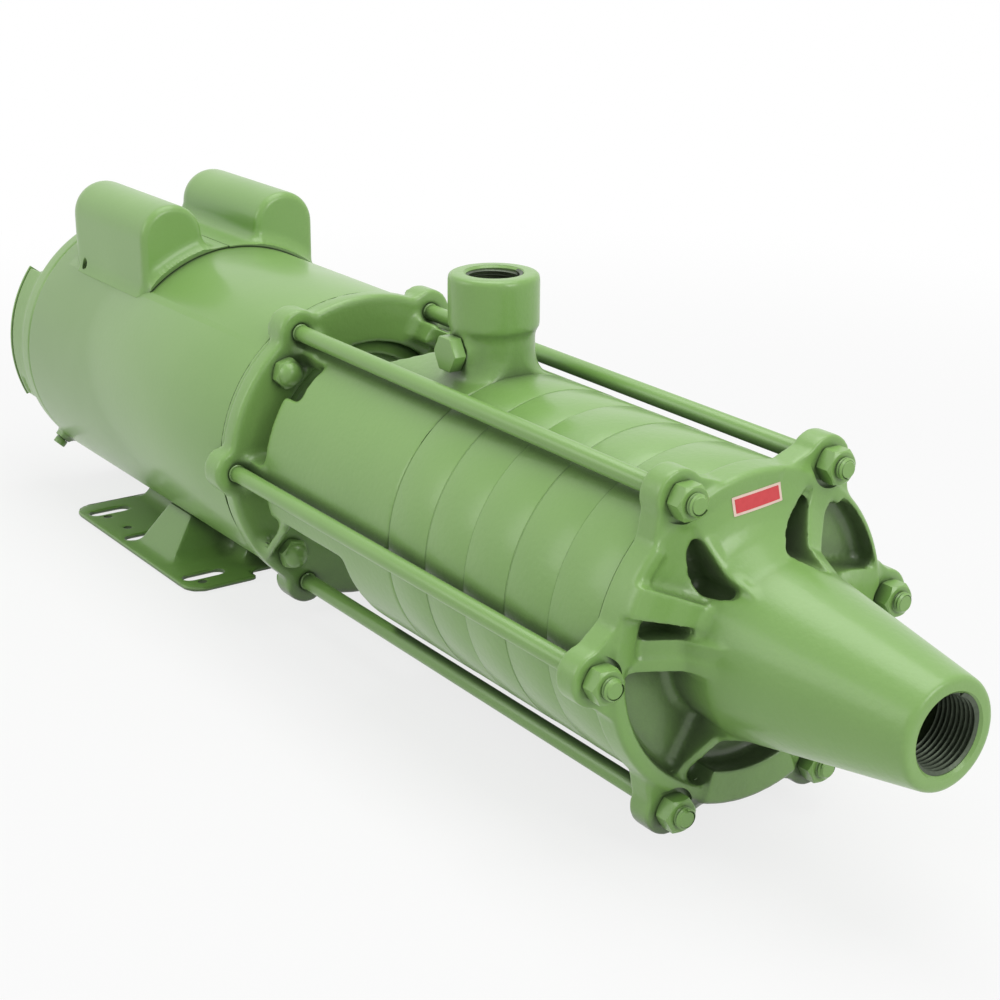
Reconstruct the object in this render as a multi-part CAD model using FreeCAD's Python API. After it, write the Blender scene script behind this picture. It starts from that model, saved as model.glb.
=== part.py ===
import FreeCAD, Part
import math
import os

from FreeCAD import Vector

os.makedirs("parts", exist_ok=True)

# Frame: the shaft axis is the X axis, X = 0 is the mouth of the suction nose, +X points out of it.
# The motor stands on the -X side. +Z is up. Angles are measured about X from +Y towards +Z.

# The chain of lengths along the shaft, from the mouth back to the motor
NOSE_LENGTH = 111.4
EAR_THICKNESS = 12.4
GASKET_THICKNESS = 0.5
STAGE_PITCH = 31.0
RING_COUNT = 5
CHAMBER_DEPTH = 41.0
BACK_WALL = 8.0
LANTERN_LENGTH = 72.0
LANTERN_SLOT = 15.0
FLANGE_THICKNESS = 11.0

# Barrel and tie rods
BARREL_RADIUS = 72.0
BARREL_WALL = 6.0
ROD_CIRCLE = 78.9
ROD_COUNT = 6
ROD_RADIUS = 4.25
ROD_THREAD_RADIUS = 4.76
ROD_HOLE_CLEARANCE = 0.4
ROD_TAIL = 3.3
LUG_RADIUS = 12.0
LUG_THICKNESS = 15.0
NUT_FLATS = 14.3
NUT_HEIGHT = 8.3

# Suction cover
NOSE_RADIUS = 23.3
CONE_ROOT_RADIUS = 42.2
SUCTION_THREAD_RADIUS = 15.15
SUCTION_THREAD_LENGTH = 22.0
SUCTION_CHAMBER_RADIUS = 30.0
RIM_RADIUS = 73.5
RIM_WIDTH = 7.0
RIM_SETBACK = 2.4
PLATE_THICKNESS = 5.5
RIB_THICKNESS = 5.0
RIB_FOOT = 20.0
APRON_RISE = 11.0
PAD_WIDTH = 15.0
PAD_HALF_ANGLE = 22.0

# Discharge nozzle
NOZZLE_SETBACK = 20.0
NOZZLE_TOP = 117.8
HUB_RADIUS = 21.8
HUB_HEIGHT = 25.2
NECK_RADIUS = 19.7
DISCHARGE_THREAD_RADIUS = 12.06
DISCHARGE_THREAD_LENGTH = 18.0

# Priming plug in the side of the nozzle's neck
PLUG_HEIGHT = 82.0
PLUG_BOSS_RISE = 1.8
PLUG_BOSS_RADIUS = 9.2
PLUG_RADIUS = 6.58
PLUG_LENGTH = 7.5
PLUG_FLATS = 15.9
PLUG_HEAD = 6.5

# Lantern and motor flange of the discharge casing
FLANGE_OVERHANG = 1.6
REGISTER_INSET = 23.75
REGISTER_LENGTH = 3.0
REGISTER_WALL = 8.0
FIT_CLEARANCE = 0.05
STUD_INSET = 11.05
STUD_RADIUS = 4.76
STUD_COUNT = 4
STUD_STANDOUT = 10.0
TOP_WINDOW_HALF_ANGLE = 25.0
TOP_WINDOW_LENGTH = 62.0
LOWER_WINDOW_EDGE = 17.0
ARM_HALF_WIDTH = 6.5
POCKET_RADIUS = 11.5
POCKET_DEPTH = 14.0
STRUT_FOOT = 52.5
STRUT_FOOT_RADIUS = 82.0
STRUT_TOP = 71.0
STRUT_REACH = 12.0
STRUT_THICKNESS = 5.0
STRUT_DEPTH = 5.0

# Shaft
SHAFT_RADIUS = 8.0
JOURNAL_RADIUS = 7.5
SHAFT_END_RADIUS = 6.0
KEY_SIZE = 4.0
KEY_DEPTH = 2.2
RUNNING_CLEARANCE = 0.1
MOTOR_SHAFT_RADIUS = 7.94
MOTOR_SHAFT_REACH = 52.4
CORE_SEAT_RADIUS = 12.0
COUPLING_RADIUS = 16.0
COUPLING_LENGTH = 50.0
SET_SCREW_RADIUS = 3.0

# Hydraulics
IMPELLER_RADIUS = 54.0
IMPELLER_WIDTH = 9.0
SHROUD = 2.0
EYE_RADIUS = 20.0
EYE_WALL = 2.0
HUB_OUTER = 12.0
IMPELLER_SETBACK = 3.5
VANE_COUNT = 5
VANE_THICKNESS = 2.4
DIFFUSER_WALL = 3.0
DIFFUSER_DISC_RADIUS = 58.0
RETURN_VANE_COUNT = 6
BUSH_WALL = 2.5
WEAR_RING_WALL = 3.0
WEAR_CLEARANCE = 0.3
HUB_STANDOUT = 1.0
DIFFUSER_SEAT = 2.0

# Mechanical seal and slinger
SEAT_RADIUS = 15.5
SEAT_DEPTH = 8.0
SEAL_RADIUS = 13.5
SEAL_LENGTH = 24.0
SLINGER_RADIUS = 24.0
SLINGER_THICKNESS = 4.0

# Motor
SHELL_RADIUS = 80.9
SHELL_WALL = 2.0
SHELL_LENGTH = 257.5
FRONT_RIM = 5.0
REAR_RIM = 17.5
REAR_WALL = 5.0
SPIGOT_LENGTH = 8.0
SPIGOT_WALL = 5.0
HOUSING_WALL = 6.0
STUD_DEPTH = 14.0
BOLT_DEPTH = 11.0
NOTCH_START = 192.0
NOTCH_SPAN = 30.0
BOLT_INSET = 12.0
BOLT_RADIUS = 2.4
BOLT_HEAD_FLATS = 8.0
GROUND_BOSS = 3.5
CORE_LENGTH = 92.0
CORE_SETBACK = 82.0
STATOR_BORE = 44.0
AIR_GAP = 0.5
WINDING_LENGTH = 26.0
BOX_DEPTH = 16.0
BOX_START = 143.0
BOX_END = 205.0
BOX_INNER_RADIUS = 34.0
BOX_WALL = 4.0
GROUND_ANGLE = 226.0
SHEET = 1.5

# Ball bearings
FRONT_BEARING_SETBACK = 20.0
REAR_BEARING_SETBACK = 10.0
FRONT_BEARING_BORE = 10.0
FRONT_BEARING_RADIUS = 23.5
FRONT_BEARING_WIDTH = 14.0
REAR_BEARING_BORE = 8.5
REAR_BEARING_RADIUS = 20.0
REAR_BEARING_WIDTH = 12.0
RACE_THICKNESS = 3.2

# Start switch on the rear end of the shaft
SWITCH_GAP = 12.0
SWITCH_BOARD_MARGIN = 16.0
GOVERNOR_GAP = 16.0
GOVERNOR_LENGTH = 16.0
GOVERNOR_RADIUS = 22.0

# Capacitors and their covers
COVER_SPACING = 72.0
COVER_RADIUS = 19.0
COVER_RISE = 27.6
COVER_LENGTH = 107.0
COVER_SETBACK = 5.0
COVER_ROUNDING = 4.0
SADDLE_SETBACK = 132.0
SADDLE_MARGIN = 6.0
SADDLE_HALF_ANGLE = 44.0
CAPACITOR_RADIUS = 14.0
CAPACITOR_FRONT_GAP = 8.0
CAPACITOR_REAR_GAP = 11.0

# Foot of the motor
FOOT_GAP = 8.0
FOOT_SETBACK = 46.4
FOOT_LENGTH = 163.0
FOOT_HALF_WIDTH = 79.0
FOOT_SHEET = 3.0
FOOT_CORNER = 12.0
FOOT_RECESS_DEPTH = 10.4
FOOT_RECESS_HALF_WIDTH = 38.0
SLOT_WIDTH = 8.7
SLOT_LENGTH = 26.0
SLOT_SPAN = 123.8
SLOT_FRONT_INSET = 18.6
SLOT_STEPS = (0.0, 76.2, 127.0)
HOLE_RADIUS = 2.6
HOLE_SPOTS = ((-9.0, 67.0), (94.0, 65.0), (118.0, 67.0))
CHANNEL_HALF_WIDTH = 37.0
CHANNEL_HEIGHT = 12.0
CHANNEL_FRONT_INSET = 22.0
WING_HALF_WIDTH = 72.0
WING_HEIGHT = 27.0
WING_FRONT_INSET = 42.0
WING_LENGTH = 46.0
SIDE_LEAN = 0.75
END_LEAN = 0.35

# Stations along the shaft
X_EAR = -NOSE_LENGTH
X_COVER_BACK = X_EAR - EAR_THICKNESS
X_CASING = X_COVER_BACK - RING_COUNT * STAGE_PITCH
X_WALL = X_CASING - CHAMBER_DEPTH
X_LANTERN = X_WALL - BACK_WALL
X_SLOT = X_LANTERN - LANTERN_LENGTH
X_FLANGE = X_SLOT - LANTERN_SLOT
X_MOTOR = X_FLANGE - FLANGE_THICKNESS
X_SHELL = X_MOTOR - FRONT_RIM
X_SHELL_END = X_SHELL - SHELL_LENGTH
X_REAR = X_SHELL_END - REAR_RIM
X_NOZZLE = X_CASING - NOZZLE_SETBACK
X_ROD_END = X_EAR + NUT_HEIGHT + ROD_TAIL
X_CORE = X_SHELL - CORE_SETBACK
X_CORE_END = X_CORE - CORE_LENGTH
X_STACK_FRONT = X_COVER_BACK - IMPELLER_SETBACK + HUB_STANDOUT
X_STACK_END = X_CASING - IMPELLER_SETBACK - IMPELLER_WIDTH
X_SHAFT_JOINT = X_MOTOR + MOTOR_SHAFT_REACH
X_FRONT_BEARING = X_SHELL - FRONT_BEARING_SETBACK
X_REAR_BEARING = X_SHELL_END + REAR_BEARING_SETBACK
X_SADDLE = X_SHELL - SADDLE_SETBACK
X_COVER = X_SADDLE - COVER_SETBACK
X_FOOT = X_SHELL - FOOT_SETBACK
FOOT_FACE = -(SHELL_RADIUS + FOOT_GAP)
FLANGE_RADIUS = SHELL_RADIUS + FLANGE_OVERHANG
REGISTER_RADIUS = SHELL_RADIUS - REGISTER_INSET
STUD_CIRCLE = SHELL_RADIUS - STUD_INSET
BOLT_CIRCLE = SHELL_RADIUS - BOLT_INSET
COVER_TOP = SHELL_RADIUS + COVER_RISE
SADDLE_LENGTH = COVER_SETBACK + COVER_LENGTH + SADDLE_MARGIN
BARREL_BORE = BARREL_RADIUS - BARREL_WALL
SHELL_BORE = SHELL_RADIUS - SHELL_WALL

AXIS = Vector(1, 0, 0)


def turned(points):
    """Solid of revolution about the shaft from an (x, radius) outline."""
    corners = [Vector(x, r, 0) for x, r in points]
    face = Part.Face(Part.makePolygon(corners + corners[:1]))
    return face.revolve(Vector(0, 0, 0), AXIS, 360)


def disc(x_start, x_end, radius, bore=0.0, y=0.0, z=0.0):
    """Cylinder along X between two stations, with an optional bore."""
    x_low = min(x_start, x_end)
    length = abs(x_end - x_start)
    solid = Part.makeCylinder(radius, length, Vector(x_low, y, z), AXIS)
    if bore > 0:
        solid = solid.cut(Part.makeCylinder(bore, length, Vector(x_low, y, z), AXIS))
    return solid


def box(x_range, y_range, z_range):
    sizes = [high - low for low, high in (x_range, y_range, z_range)]
    return Part.makeBox(*sizes, Vector(x_range[0], y_range[0], z_range[0]))


def hexagon(x_start, x_end, flats, y=0.0, z=0.0, bore=0.0):
    """Hexagon prism along X between two stations."""
    corner = flats / math.sqrt(3)
    points = [
        Vector(x_start, y + corner * math.cos(math.tau * i / 6), z + corner * math.sin(math.tau * i / 6))
        for i in range(6)
    ]
    face = Part.Face(Part.makePolygon(points + points[:1]))
    prism = face.extrude(Vector(x_end - x_start, 0, 0))
    if bore > 0:
        prism = prism.cut(disc(x_start, x_end, bore, y=y, z=z))
    return prism


def turn(shape, angle):
    """Copy of a shape turned about the shaft; shapes are drawn on the +Y side."""
    return shape.rotated(Vector(0, 0, 0), AXIS, angle)


def around(shape, angles):
    return [turn(shape, angle) for angle in angles]


def even(count, first=0.0):
    return [first + 360.0 / count * i for i in range(count)]


def sector(x_start, x_end, radius, start, end, bore=0.0):
    """Slice of a cylinder or ring between two angles."""
    x_low = min(x_start, x_end)
    length = abs(x_end - x_start)
    slice_ = Part.makeCylinder(radius, length, Vector(x_low, 0, 0), AXIS, end - start)
    if bore > 0:
        slice_ = slice_.cut(disc(x_start, x_end, bore))
    return turn(slice_, start - 90)


def export(name, shapes):
    solids = shapes if isinstance(shapes, list) else [shapes]
    kept = []
    for shape in solids:
        for solid in shape.Solids:
            if solid.isValid() and solid.Volume > 0:
                kept.append(solid)
            else:
                raise RuntimeError(f"{name} has an invalid solid")
    shape = kept[0] if len(kept) == 1 else Part.makeCompound(kept)
    shape.exportStep(f"parts/{name}.step")


def lug(x_start, x_end, foot_radius, foot_half_width):
    """Rounded ear on the +Y side that carries a tie rod."""
    root = math.asin(min(1.0, (foot_half_width - LUG_RADIUS) / (ROD_CIRCLE - foot_radius)))
    tip_y = ROD_CIRCLE + LUG_RADIUS * math.sin(root)
    tip_z = LUG_RADIUS * math.cos(root)
    edge_z = foot_half_width
    base = Vector(x_start, foot_radius, -edge_z)
    base_top = Vector(x_start, foot_radius, edge_z)
    low = Vector(x_start, tip_y, -tip_z)
    high = Vector(x_start, tip_y, tip_z)
    end = Vector(x_start, ROD_CIRCLE + LUG_RADIUS, 0)
    edges = [
        Part.LineSegment(base, low).toShape(),
        Part.Arc(low, end, high).toShape(),
        Part.LineSegment(high, base_top).toShape(),
        Part.LineSegment(base_top, base).toShape(),
    ]
    return Part.Face(Part.Wire(edges)).extrude(Vector(x_end - x_start, 0, 0))


def rod_holes(x_start, x_end, radius):
    holes = disc(x_start, x_end, radius, y=ROD_CIRCLE)
    return around(holes, even(ROD_COUNT))


def cone_radius(x):
    """Outer radius of the suction nose at a station."""
    return NOSE_RADIUS + (CONE_ROOT_RADIUS - NOSE_RADIUS) * x / X_EAR


def suction_cover():
    floor = X_COVER_BACK + PLATE_THICKNESS
    rim_face = X_EAR + RIM_SETBACK
    lip = 2.0
    shell = turned([
        (X_COVER_BACK, 0),
        (X_COVER_BACK, RIM_RADIUS - 1.5),
        (X_COVER_BACK + 3, RIM_RADIUS),
        (rim_face - 1.5, RIM_RADIUS),
        (rim_face, RIM_RADIUS - 1.5),
        (rim_face, RIM_RADIUS - RIM_WIDTH),
        (floor, RIM_RADIUS - RIM_WIDTH - 2),
        (floor, CONE_ROOT_RADIUS + 8),
        (floor + 3, CONE_ROOT_RADIUS + 4),
        (X_EAR + 4, CONE_ROOT_RADIUS + 1),
        (X_EAR + 12, cone_radius(X_EAR + 12)),
        (-lip, cone_radius(-lip)),
        (0, NOSE_RADIUS - lip),
        (0, 0),
    ])
    ears = around(lug(X_COVER_BACK, X_EAR, RIM_RADIUS - RIM_WIDTH, LUG_RADIUS + 3.5), even(ROD_COUNT))
    rib_points = [
        Vector(floor - 1, ROD_CIRCLE - LUG_RADIUS, 0),
        Vector(X_EAR, ROD_CIRCLE - LUG_RADIUS, 0),
        Vector(X_EAR + 7, 52, 0),
        Vector(X_EAR + RIB_FOOT + 9, cone_radius(X_EAR + RIB_FOOT + 9) - 1, 0),
        Vector(floor - 1, CONE_ROOT_RADIUS - 8, 0),
    ]
    rib_edges = [
        Part.LineSegment(rib_points[0], rib_points[1]).toShape(),
        Part.Arc(rib_points[1], rib_points[2], rib_points[3]).toShape(),
        Part.LineSegment(rib_points[3], rib_points[4]).toShape(),
        Part.LineSegment(rib_points[4], rib_points[0]).toShape(),
    ]
    rib = Part.Face(Part.Wire(rib_edges)).extrude(Vector(0, 0, RIB_THICKNESS))
    rib.translate(Vector(0, 0, -RIB_THICKNESS / 2))
    ribs = around(rib, even(ROD_COUNT))

    apron_slope = turned([
        (floor - 1, 0),
        (floor - 1, RIM_RADIUS),
        (rim_face, RIM_RADIUS),
        (X_EAR + APRON_RISE, CONE_ROOT_RADIUS + 5),
        (X_EAR + APRON_RISE + 6, CONE_ROOT_RADIUS),
        (X_EAR + APRON_RISE + 6, 0),
    ])
    apron = apron_slope.common(wedge(90, 26, 15))
    tongue_slope = turned([
        (floor - 1, 0),
        (floor - 1, RIM_RADIUS),
        (X_EAR + 5, RIM_RADIUS),
        (X_EAR + 8, RIM_RADIUS - 2),
        (X_EAR + 13, CONE_ROOT_RADIUS + 4),
        (X_EAR + 19, CONE_ROOT_RADIUS - 1),
        (X_EAR + 19, 0),
    ])
    tongue = tongue_slope.common(wedge(150, 11, 6))
    pad_edges = (270 - PAD_HALF_ANGLE, 270 + PAD_HALF_ANGLE)
    pad = sector(floor - 1, X_EAR + 1.5, RIM_RADIUS, *pad_edges, RIM_RADIUS - PAD_WIDTH)

    body = shell.fuse(ears + ribs + [apron, tongue, pad])
    chamber = turned([
        (X_COVER_BACK, 0),
        (X_COVER_BACK, EYE_RADIUS + EYE_WALL + WEAR_RING_WALL),
        (X_COVER_BACK + 4, EYE_RADIUS + EYE_WALL + WEAR_RING_WALL),
        (X_COVER_BACK + 4, SUCTION_CHAMBER_RADIUS - 6),
        (X_EAR + 2, SUCTION_CHAMBER_RADIUS),
        (X_EAR + 14, SUCTION_CHAMBER_RADIUS),
        (-SUCTION_THREAD_LENGTH - 4, SUCTION_THREAD_RADIUS + 1.5),
        (-SUCTION_THREAD_LENGTH, SUCTION_THREAD_RADIUS),
        (0, SUCTION_THREAD_RADIUS),
        (0, 0),
    ])
    holes = rod_holes(X_COVER_BACK - 1, X_EAR + 20, ROD_THREAD_RADIUS + ROD_HOLE_CLEARANCE)
    seat_floor = [
        turn(disc(X_EAR, X_EAR + 20, LUG_RADIUS - 1.5, y=ROD_CIRCLE), angle) for angle in even(ROD_COUNT)
    ]
    return body.cut(seat_floor).cut([chamber] + holes).removeSplitter()


def wedge(angle, outer_half, inner_half):
    """Tapered slice that widens from the nose to the rim."""
    points = [
        Vector(X_COVER_BACK, 30, -inner_half),
        Vector(X_COVER_BACK, RIM_RADIUS + 2, -outer_half),
        Vector(X_COVER_BACK, RIM_RADIUS + 2, outer_half),
        Vector(X_COVER_BACK, 30, inner_half),
    ]
    face = Part.Face(Part.makePolygon(points + points[:1]))
    return turn(face.extrude(Vector(60, 0, 0)), angle)


def ring_start(index):
    """Front station of a stage, counted from the suction side."""
    return X_COVER_BACK - index * STAGE_PITCH


def stage_casing(index):
    front = ring_start(index) - GASKET_THICKNESS
    back = ring_start(index + 1)
    ring = disc(front, back, BARREL_RADIUS, BARREL_BORE)
    return ring.cut(disc(back, back + DIFFUSER_WALL, BARREL_BORE + DIFFUSER_SEAT))


def gaskets():
    return [
        disc(ring_start(i) - GASKET_THICKNESS, ring_start(i), BARREL_RADIUS - 0.6, BARREL_BORE)
        for i in range(RING_COUNT + 1)
    ]


def blade(radius_in, radius_out, sweep, thickness, x_start, x_end):
    """Curved vane between two radii, as a thin arc plate along the shaft."""
    start = Vector(x_start, radius_in, 0)
    lean = math.radians(sweep)
    end = Vector(x_start, radius_out * math.cos(lean), radius_out * math.sin(lean))
    half = math.radians(sweep * 0.3)
    middle_radius = (radius_in + radius_out) / 2
    middle = Vector(x_start, middle_radius * math.cos(half), middle_radius * math.sin(half))
    across = Vector(0, -(end.z - start.z), end.y - start.y).normalize() * thickness
    edges = [
        Part.Arc(start, middle, end).toShape(),
        Part.LineSegment(end, end + across).toShape(),
        Part.Arc(end + across, middle + across, start + across).toShape(),
        Part.LineSegment(start + across, start).toShape(),
    ]
    return Part.Face(Part.Wire(edges)).extrude(Vector(x_end - x_start, 0, 0))


def key_slot(x_start, x_end, clearance=0.0):
    low = JOURNAL_RADIUS - KEY_DEPTH
    high = low + KEY_SIZE + clearance
    half = KEY_SIZE / 2 + clearance
    return box((min(x_start, x_end), max(x_start, x_end)), (-half, half), (low - clearance, high))


def impeller(index):
    front = ring_start(index) - IMPELLER_SETBACK
    back = front - IMPELLER_WIDTH
    hub_front = front + HUB_STANDOUT
    shrouds = turned([
        (back, JOURNAL_RADIUS + FIT_CLEARANCE),
        (back, IMPELLER_RADIUS),
        (back + SHROUD, IMPELLER_RADIUS),
        (back + SHROUD, HUB_OUTER),
        (hub_front, HUB_OUTER - 2),
        (hub_front, JOURNAL_RADIUS + FIT_CLEARANCE),
    ]).fuse(turned([
        (front - SHROUD, EYE_RADIUS),
        (front - SHROUD, IMPELLER_RADIUS),
        (front, IMPELLER_RADIUS),
        (front, EYE_RADIUS + EYE_WALL),
        (front + IMPELLER_SETBACK + 3, EYE_RADIUS + EYE_WALL),
        (front + IMPELLER_SETBACK + 3, EYE_RADIUS),
    ]))
    vanes = around(
        blade(HUB_OUTER + 3, IMPELLER_RADIUS - 1.5, -70, VANE_THICKNESS, back + SHROUD, front - SHROUD),
        even(VANE_COUNT),
    )
    return shrouds.fuse(vanes).cut(key_slot(back - 1, hub_front + 1, 0.05))


def diffuser(index):
    """Return channel plate: disc, return vanes and the wall that feeds the next eye."""
    impeller_back = ring_start(index) - IMPELLER_SETBACK - IMPELLER_WIDTH
    disc_front = impeller_back - 1.0
    wall_back = ring_start(index + 1)
    wall_front = wall_back + DIFFUSER_WALL
    bush_outer = HUB_OUTER + BUSH_WALL
    plate = disc(disc_front, disc_front - DIFFUSER_WALL, DIFFUSER_DISC_RADIUS, bush_outer)
    eye_seat = EYE_RADIUS + EYE_WALL + WEAR_RING_WALL
    wall = disc(wall_front, wall_back, BARREL_BORE + DIFFUSER_SEAT - FIT_CLEARANCE, eye_seat)
    vanes = around(
        blade(eye_seat + 2, BARREL_BORE - 1.5, 42, VANE_THICKNESS, disc_front - DIFFUSER_WALL, wall_front),
        even(RETURN_VANE_COUNT, 15.0 * index),
    )
    hub = disc(disc_front, wall_front + 2, bush_outer + 2.5, bush_outer)
    return wall.fuse([plate, hub] + vanes)


def spacer_range(index):
    """Stations of the sleeve between two impeller hubs."""
    hub_back = ring_start(index) - IMPELLER_SETBACK - IMPELLER_WIDTH
    next_front = ring_start(index + 1) - IMPELLER_SETBACK + HUB_STANDOUT
    return hub_back, next_front


def spacers():
    sleeves = []
    for i in range(RING_COUNT):
        front, back = spacer_range(i)
        sleeve = disc(front, back, HUB_OUTER - RUNNING_CLEARANCE, JOURNAL_RADIUS + FIT_CLEARANCE)
        sleeves.append(sleeve.cut(key_slot(front + 1, back - 1, 0.05)))
    return sleeves


def bushes():
    rings = []
    for i in range(RING_COUNT):
        front = ring_start(i) - IMPELLER_SETBACK - IMPELLER_WIDTH - 1.0
        rings.append(disc(front, ring_start(i + 1) + DIFFUSER_WALL + 2, HUB_OUTER + BUSH_WALL, HUB_OUTER))
    return rings


def wear_rings():
    rings = []
    for i in range(RING_COUNT + 1):
        x = ring_start(i)
        depth = 4.0 if i == 0 else DIFFUSER_WALL
        bore = EYE_RADIUS + EYE_WALL + WEAR_CLEARANCE
        rings.append(disc(x, x + depth, EYE_RADIUS + EYE_WALL + WEAR_RING_WALL, bore))
    return rings


def discharge_casing():
    barrel = turned([
        (X_CASING - GASKET_THICKNESS, BARREL_BORE),
        (X_CASING - GASKET_THICKNESS, BARREL_RADIUS),
        (X_SLOT, BARREL_RADIUS),
        (X_SLOT, BARREL_BORE),
    ])
    back_wall = turned([
        (X_WALL, 0),
        (X_WALL, BARREL_BORE + 1),
        (X_LANTERN, BARREL_BORE + 1),
        (X_LANTERN, SEAT_RADIUS + 12),
        (X_LANTERN - 5, SEAT_RADIUS + 8),
        (X_LANTERN - 5, 0),
    ])
    flange = turned([
        (X_FLANGE, REGISTER_RADIUS + FIT_CLEARANCE),
        (X_FLANGE, FLANGE_RADIUS - 1.5),
        (X_FLANGE - 1.5, FLANGE_RADIUS),
        (X_MOTOR, FLANGE_RADIUS),
        (X_MOTOR, REGISTER_RADIUS + FIT_CLEARANCE),
    ])
    arm_angles = (0, 60, 120, 180)
    arm_depth = (BARREL_BORE - 4, BARREL_RADIUS + 1)
    arm = box((X_FLANGE - 1, X_SLOT + 1), arm_depth, (-ARM_HALF_WIDTH, ARM_HALF_WIDTH))
    arms = around(arm, arm_angles)

    lower_angles = (180 + LOWER_WINDOW_EDGE, 360 - LOWER_WINDOW_EDGE)
    lower_window = sector(X_LANTERN, X_SLOT, FLANGE_RADIUS, *lower_angles)
    top_half_width = BARREL_RADIUS * math.sin(math.radians(TOP_WINDOW_HALF_ANGLE))
    top_end = X_SLOT + TOP_WINDOW_LENGTH
    shoulder = top_end - top_half_width * 0.6
    near_left = Vector(X_SLOT - 1, -top_half_width, 30)
    far_left = Vector(shoulder, -top_half_width, 30)
    tip = Vector(top_end, 0, 30)
    far_right = Vector(shoulder, top_half_width, 30)
    near_right = Vector(X_SLOT - 1, top_half_width, 30)
    window_edges = [
        Part.LineSegment(near_left, far_left).toShape(),
        Part.Arc(far_left, tip, far_right).toShape(),
        Part.LineSegment(far_right, near_right).toShape(),
        Part.LineSegment(near_right, near_left).toShape(),
    ]
    top_window = Part.Face(Part.Wire(window_edges)).extrude(Vector(0, 0, 60))
    pockets = [
        turn(disc(X_SLOT - 1, X_SLOT + POCKET_DEPTH, POCKET_RADIUS, y=STUD_CIRCLE), angle)
        for angle in even(STUD_COUNT, 45)
    ]
    shell = barrel.cut([lower_window, top_window] + pockets)

    struts = []
    for side in (-1, 1):
        struts.append(strut(side))

    hub_low = NOZZLE_TOP - HUB_HEIGHT
    nozzle = turned_up([
        (0, 40),
        (NECK_RADIUS, 40),
        (NECK_RADIUS, hub_low - 1.5),
        (HUB_RADIUS, hub_low),
        (HUB_RADIUS, NOZZLE_TOP - 1.5),
        (HUB_RADIUS - 1.5, NOZZLE_TOP),
        (0, NOZZLE_TOP),
    ])
    flare = turned_up([
        (0, 40),
        (NECK_RADIUS + 7, 40),
        (NECK_RADIUS + 7, BARREL_RADIUS - 10),
        (NECK_RADIUS + 5, BARREL_RADIUS - 5),
        (NECK_RADIUS + 2.4, BARREL_RADIUS - 0.5),
        (NECK_RADIUS + 0.8, BARREL_RADIUS + 3.5),
        (NECK_RADIUS, BARREL_RADIUS + 8),
        (0, BARREL_RADIUS + 8),
    ]).common(disc(X_CASING - GASKET_THICKNESS, X_LANTERN - 2, NOZZLE_TOP))
    hub = nozzle.fuse(flare).cut(disc(X_CASING + 30, X_LANTERN - 30, BARREL_BORE))
    hub = hub.cut(disc(X_CASING - GASKET_THICKNESS, X_CASING + 30, BARREL_RADIUS + 0.4))
    discharge_bore = turned_up([
        (0, 40),
        (DISCHARGE_THREAD_RADIUS + 1, 40),
        (DISCHARGE_THREAD_RADIUS + 1, NOZZLE_TOP - DISCHARGE_THREAD_LENGTH - 3),
        (DISCHARGE_THREAD_RADIUS, NOZZLE_TOP - DISCHARGE_THREAD_LENGTH),
        (DISCHARGE_THREAD_RADIUS, NOZZLE_TOP),
        (0, NOZZLE_TOP),
    ])
    seat = NECK_RADIUS + PLUG_BOSS_RISE
    boss = sideways(disc(NECK_RADIUS / 2, seat, PLUG_BOSS_RADIUS))
    pad = box(
        (X_NOZZLE - PLUG_BOSS_RADIUS, X_NOZZLE + PLUG_BOSS_RADIUS),
        (-seat, -NECK_RADIUS / 2),
        (BARREL_RADIUS - 8, PLUG_HEIGHT),
    )
    plug_hole = sideways(disc(0, seat + 1, PLUG_RADIUS))
    lug_shape = lug(X_FLANGE, X_FLANGE - LUG_THICKNESS, FLANGE_RADIUS - 14, LUG_RADIUS + 3)
    lugs = around(lug_shape, even(ROD_COUNT))
    motor_room = disc(X_MOTOR, X_MOTOR - LUG_THICKNESS, FLANGE_RADIUS + 0.4)
    lugs = [lug_.cut(motor_room) for lug_ in lugs]

    body = shell.fuse([back_wall, flange, hub, boss, pad] + arms + struts + lugs)
    seat_bore = turned([
        (X_WALL + 1, 0),
        (X_WALL + 1, SEAT_RADIUS),
        (X_WALL - SEAT_DEPTH, SEAT_RADIUS),
        (X_WALL - SEAT_DEPTH, SHAFT_RADIUS + 2.5),
        (X_LANTERN - 6, SHAFT_RADIUS + 2.5),
        (X_LANTERN - 6, 0),
    ])
    rods = rod_holes(X_FLANGE + 1, X_MOTOR + 0.5, ROD_THREAD_RADIUS)
    stud_hole = disc(X_FLANGE + 1, X_MOTOR - 1, STUD_RADIUS + ROD_HOLE_CLEARANCE, y=STUD_CIRCLE)
    studs = around(stud_hole, even(STUD_COUNT, 45))
    return body.cut([seat_bore, discharge_bore, plug_hole] + rods + studs).removeSplitter()


def sideways(shape):
    """Stands a shape drawn along X from the origin on the side of the nozzle's neck."""
    return shape.rotated(Vector(0, 0, 0), Vector(0, 0, 1), -90).translated(Vector(X_NOZZLE, 0, PLUG_HEIGHT))


def priming_plug():
    """Screwed plug whose hexagon head seals on the boss of the neck."""
    seat = NECK_RADIUS + PLUG_BOSS_RISE
    shank = disc(seat - PLUG_LENGTH, seat, PLUG_RADIUS)
    return sideways(shank.fuse(hexagon(seat, seat + PLUG_HEAD, PLUG_FLATS)))


def turned_up(points):
    """Solid of revolution about the vertical axis of the nozzle from a (radius, z) outline."""
    corners = [Vector(X_NOZZLE + r, 0, z) for r, z in points]
    face = Part.Face(Part.makePolygon(corners + corners[:1]))
    return face.revolve(Vector(X_NOZZLE, 0, 0), Vector(0, 0, 1), 360)


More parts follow.
